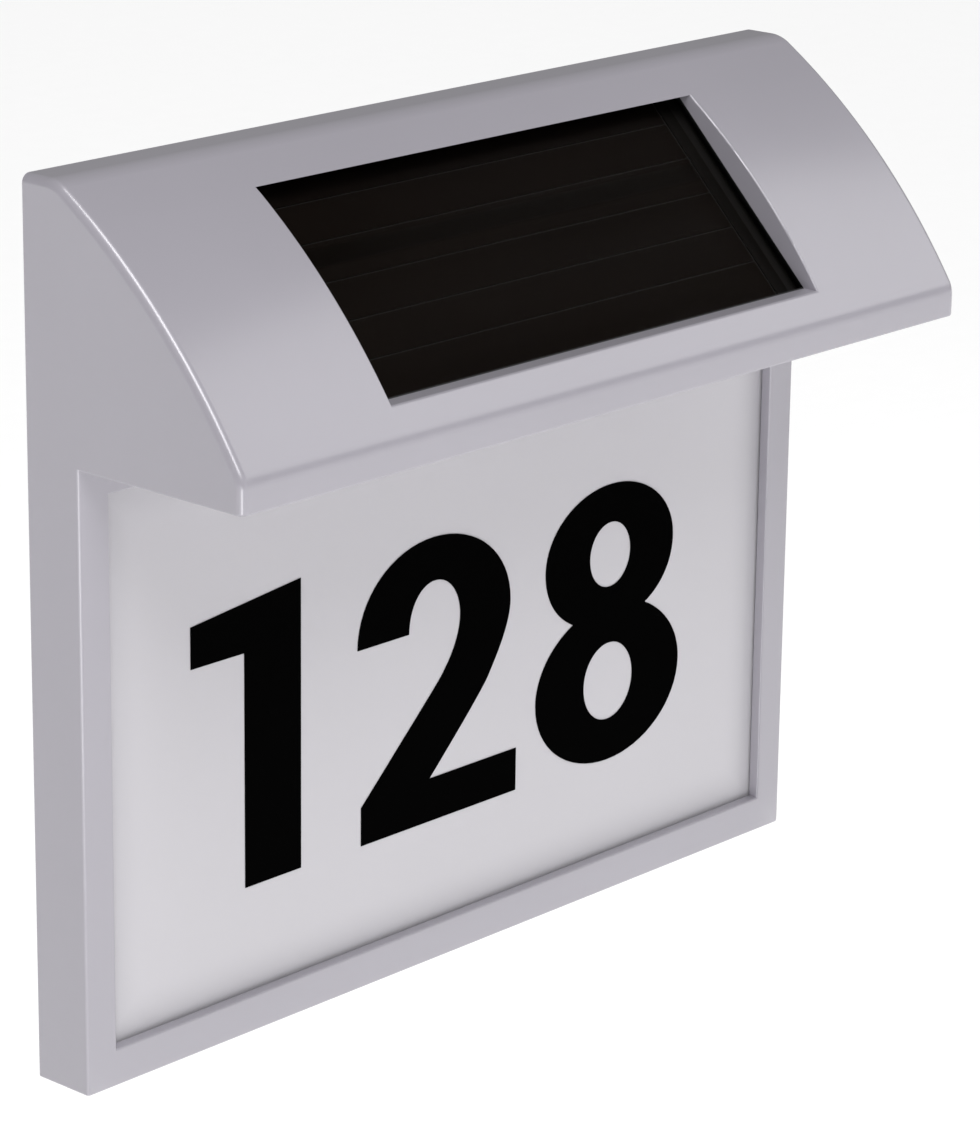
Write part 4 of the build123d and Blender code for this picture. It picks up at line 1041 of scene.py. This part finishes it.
class SIGN_OT_screws(bpy.types.Operator):
    """Make the screws, with their heads, recesses and threads"""

    bl_idname = "sign.screws"
    bl_label = "Screws"

    def execute(self, context):
        steel = turned_metal("zinc plate", (0.60, 0.61, 0.63), 0.26)
        back, front, up = (0, 1, 0), (0, -1, 0), (0, 0, 1)
        under = SLOPE.to_3x3() @ Vector((0, 0, -1))
        small = (0.9, 5, 1.8, 1.2)
        on_cover = [(x, -3.2, z) for x in (-COVER_SCREW_X, COVER_SCREW_X) for z in COVER_SCREW_Z]
        on_tray = [
            SLOPE @ (Vector((x, GLASS_MIDDLE + end, TRAY_SCREW_SEAT)) * MM) / MM
            for x in (-TRAY_SCREW_X, TRAY_SCREW_X) for end in TRAY_SCREW_ENDS]
        on_lamps = [(x, LENS_Y, 41.3) for x in (-LAMP_SCREW_X, LAMP_SCREW_X)]
        on_board = [(-70.1, -10.6, 40.7), (-42.5, -10.6, 54.3)]
        on_switch = [(x, -5.8, 45.5) for x in (48.75, 67.25)]
        on_door = [(x, -0.3, 51) for x in (-34.6, 34.6)]
        # Name, body, node, sizes (shank, length, head and its height), way of the head, and places.
        groups = (
            ("cover_screws", "sign", "rear_cover_screws", (1.35, 16, 2.8, 1.9), back, on_cover),
            ("tray_screws", "sign", "solar_tray_screws", (1.1, 5.4, 2.2, 1.5), under, on_tray),
            ("lamp_screws", "sign", "lamp_board_screws", small, up, on_lamps),
            ("circuit_screws", "sign", "board_screws", small, front, on_board),
            ("slide_screws", "sign", "switch_screws", (0.9, 1.8, 1.8, 1.2), front, on_switch),
            ("door_screws", "door", "battery_door_screws", (1.1, 8, 2.2, 1.2), back, on_door))
        for name, body, node, sizes, head, places in groups:
            model = cross_screw(*sizes, flat=name == "door_screws")
            turns = [Matrix.Rotation(math.radians(37 * step + 12), 4, "Z") for step in range(len(places))]
            moves = [turned_onto(head, place) @ turn for place, turn in zip(places, turns)]
            ready(copies(model, moves), name, body, "screw_steel", steel, node)
        return {"FINISHED"}


class SIGN_OT_battery(bpy.types.Operator):
    """Make the battery and finish its contacts"""

    bl_idname = "sign.battery"
    bl_label = "Battery"

    def execute(self, context):
        radius, nub = 7.1, 1.2
        low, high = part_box("battery")
        y, z = (low.y + high.y) / 2 / MM, (low.z + high.z) / 2 / MM
        start, end = low.x / MM, high.x / MM - nub
        bead = end - 2.6
        cell = add_rod(radius, (start, y, z), (end, y, z), 64)
        edit(cell)
        pick("FACE", at(0, end))
        inset_steps((1.3, -0.45), (2.4, 0.3), (0.8, 1.35))
        pick("FACE", at(0, start))
        inset_steps((1.2, 0.3), (0.4, -0.3))
        round_edges(at(0, end + nub), 0.4, 4)
        round_edges(
            lambda corners: lies_at(corners, 0, start, end) and all(
                abs(math.hypot(corner.y - y, corner.z - z) - radius) < 0.02 for corner in corners), 0.6, 5)
        for place in (bead - 0.6, bead, bead + 0.6):
            pick_all()
            slice_at(0, place)
        pick("EDGE", at(0, bead))
        bpy.ops.transform.resize(value=(1, 0.955, 0.955), center_override=Vector((bead, y, z)) * MM)
        finish_edit()
        material = battery_sleeve((0.035, 0.20, 0.075), (0.66, 0.66, 0.66))
        ready(smooth(cell, 40), "battery_cell", "sign", "battery_sleeve", material, "battery")
        nickel = turned_metal("nickel plate", (0.68, 0.66, 0.62), 0.25)
        dress(nickel, "battery_spring", "battery_positive_contact")
        return {"FINISHED"}


class SIGN_OT_electronics(bpy.types.Operator):
    """Finish the circuit board, its components and the leads"""

    bl_idname = "sign.electronics"
    bl_label = "Electronics"

    def execute(self, context):
        dress(moulded("green board", (0.01, 0.10, 0.035), 0.35, relief=0.2), "circuit_board")
        dress(moulded("black epoxy", (0.012, 0.012, 0.012), 0.5), "control_chip", "resistors")
        dress(moulded("ferrite", (0.05, 0.05, 0.052), 0.7, relief=0.5), "inductor")
        dress(turned_metal("aluminium can", (0.6, 0.61, 0.63), 0.3), "capacitor")
        dress(moulded("nylon", (0.66, 0.63, 0.55), 0.45), "lead_sockets")
        dress(moulded("lead sleeve", (0.015, 0.015, 0.016), 0.5), "solar_lead", "lamp_lead")
        dress(lead_core((0.012, 0.012, 0.013), (0.34, 0.012, 0.010)), "battery_leads")
        dress(lead_core((0.30, 0.26, 0.04), (0.30, 0.26, 0.04)), "switch_lead")
        return {"FINISHED"}


# Camera and lights, in metres. Each light has its place, width and length, and points at the sign.
CAMERA_PLACE = (-0.5991, -0.5645, 0.2482)
CAMERA_FORWARD, CAMERA_UP = (0.7064, 0.6423, -0.2974), (0.2116, 0.2094, 0.9547)
FLOOR_SIZE, SHEET_SIZE, SHEET_HEIGHT = 40, 36.0, 0.3
LIGHTS = {
    "key": ((0.2, -2.1, 0.45), 1.5, 1.5),
    "side": ((1.5, -1.0, 1.05), 1.1, 1.1),
    "strip": ((-0.42, -0.58, 1.22), 0.44, 1.3),
    "low": ((-0.9, -0.85, -0.3), 0.4, 0.35),
}


class SIGN_OT_stage(bpy.types.Operator):
    """Set up the floor, the lights and the camera"""

    bl_idname = "sign.stage"
    bl_label = "Stage"

    def execute(self, context):
        stage = settings().stage
        deselect()
        ground = CAD_BOX[0].z - stage.floor_drop
        bpy.ops.mesh.primitive_plane_add(size=FLOOR_SIZE, location=(0, 0, ground))
        floor = context.object
        floor.name = "floor"
        floor.data.materials.append(
            moulded("pale floor", (0.9, 0.9, 0.9), 0.85, grain=300, relief=0.02, spread=0.02))
        self.room(context, stage)
        context.scene.view_settings.view_transform = "Standard"
        self.camera(context, stage)
        over = Matrix.Translation((0, 0, ground + SHEET_HEIGHT))
        whole = stage.floor_light * math.pi * SHEET_SIZE * SHEET_SIZE
        self.lamp("floor_light", over, SHEET_SIZE, SHEET_SIZE, whole)
        for name, (place, width, length) in LIGHTS.items():
            facing = Vector(place).to_track_quat("Z", "Y").to_matrix().to_4x4()
            move = Matrix.Translation(place) @ facing
            self.lamp(name, move, width, length, getattr(stage, name))
        return {"FINISHED"}

    def room(self, context, stage):
        """An even light from all round, which the camera sees as plain white."""
        world = bpy.data.worlds.new("studio")
        context.scene.world = world
        world.use_nodes = True
        tree = world.node_tree
        room = tree.nodes["Background"]
        paper = tree.nodes.new("ShaderNodeBackground")
        for background, strength in ((room, stage.world), (paper, 1.0)):
            background.inputs["Color"].default_value = (1, 1, 1, 1)
            background.inputs["Strength"].default_value = strength
        seen = tree.nodes.new("ShaderNodeMixShader")
        ray = tree.nodes.new("ShaderNodeLightPath")
        tree.links.new(ray.outputs["Is Camera Ray"], seen.inputs[0])
        tree.links.new(room.outputs[0], seen.inputs[1])
        tree.links.new(paper.outputs[0], seen.inputs[2])
        tree.links.new(seen.outputs[0], tree.nodes["World Output"].inputs["Surface"])

    def camera(self, context, stage):
        """The camera at the place from which the sign is seen."""
        data = bpy.data.cameras.new("camera")
        data.lens = stage.lens
        data.sensor_width = 36
        data.clip_start = 0.05
        camera = add_object("camera", data)
        forward, up = Vector(CAMERA_FORWARD).normalized(), Vector(CAMERA_UP).normalized()
        right = forward.cross(up).normalized()
        up = right.cross(forward)
        turn = Matrix((right, up, -forward)).transposed().to_4x4()
        camera.matrix_world = Matrix.Translation(CAMERA_PLACE) @ turn
        context.scene.camera = camera

    def lamp(self, name, move, width, length, energy):
        """One soft light."""
        data = bpy.data.lights.new(name, "AREA")
        data.shape = "RECTANGLE"
        data.size = width
        data.size_y = length
        data.energy = energy
        light = add_object(name, data)
        light.matrix_world = move
        light.visible_camera = False


OPERATORS = (
    SIGN_OT_housing, SIGN_OT_face, SIGN_OT_solar, SIGN_OT_light, SIGN_OT_back, SIGN_OT_screws,
    SIGN_OT_battery, SIGN_OT_electronics, SIGN_OT_stage)


class SIGN_PT_panel(bpy.types.Panel):
    """Lists the steps of the sign."""

    bl_idname = "SIGN_PT_panel"
    bl_label = "House sign"
    bl_space_type = "VIEW_3D"
    bl_region_type = "UI"
    bl_category = "House sign"

    def draw(self, context):
        for operator in OPERATORS:
            self.layout.operator(operator.bl_idname)


CLASSES = (SignFinish, SignStage, HouseSign, *OPERATORS, SIGN_PT_panel)


def register():
    """Adds the classes and the settings."""
    for item in CLASSES:
        bpy.utils.register_class(item)
    bpy.types.Scene.house_sign = PointerProperty(type=HouseSign)


def unregister():
    """Takes them away again."""
    del bpy.types.Scene.house_sign
    for item in reversed(CLASSES):
        bpy.utils.unregister_class(item)


def main():
    """Runs every step in order."""
    register()
    for operator in OPERATORS:
        getattr(bpy.ops.sign, operator.bl_idname.split(".")[1])()


if __name__ == "__main__":
    main()
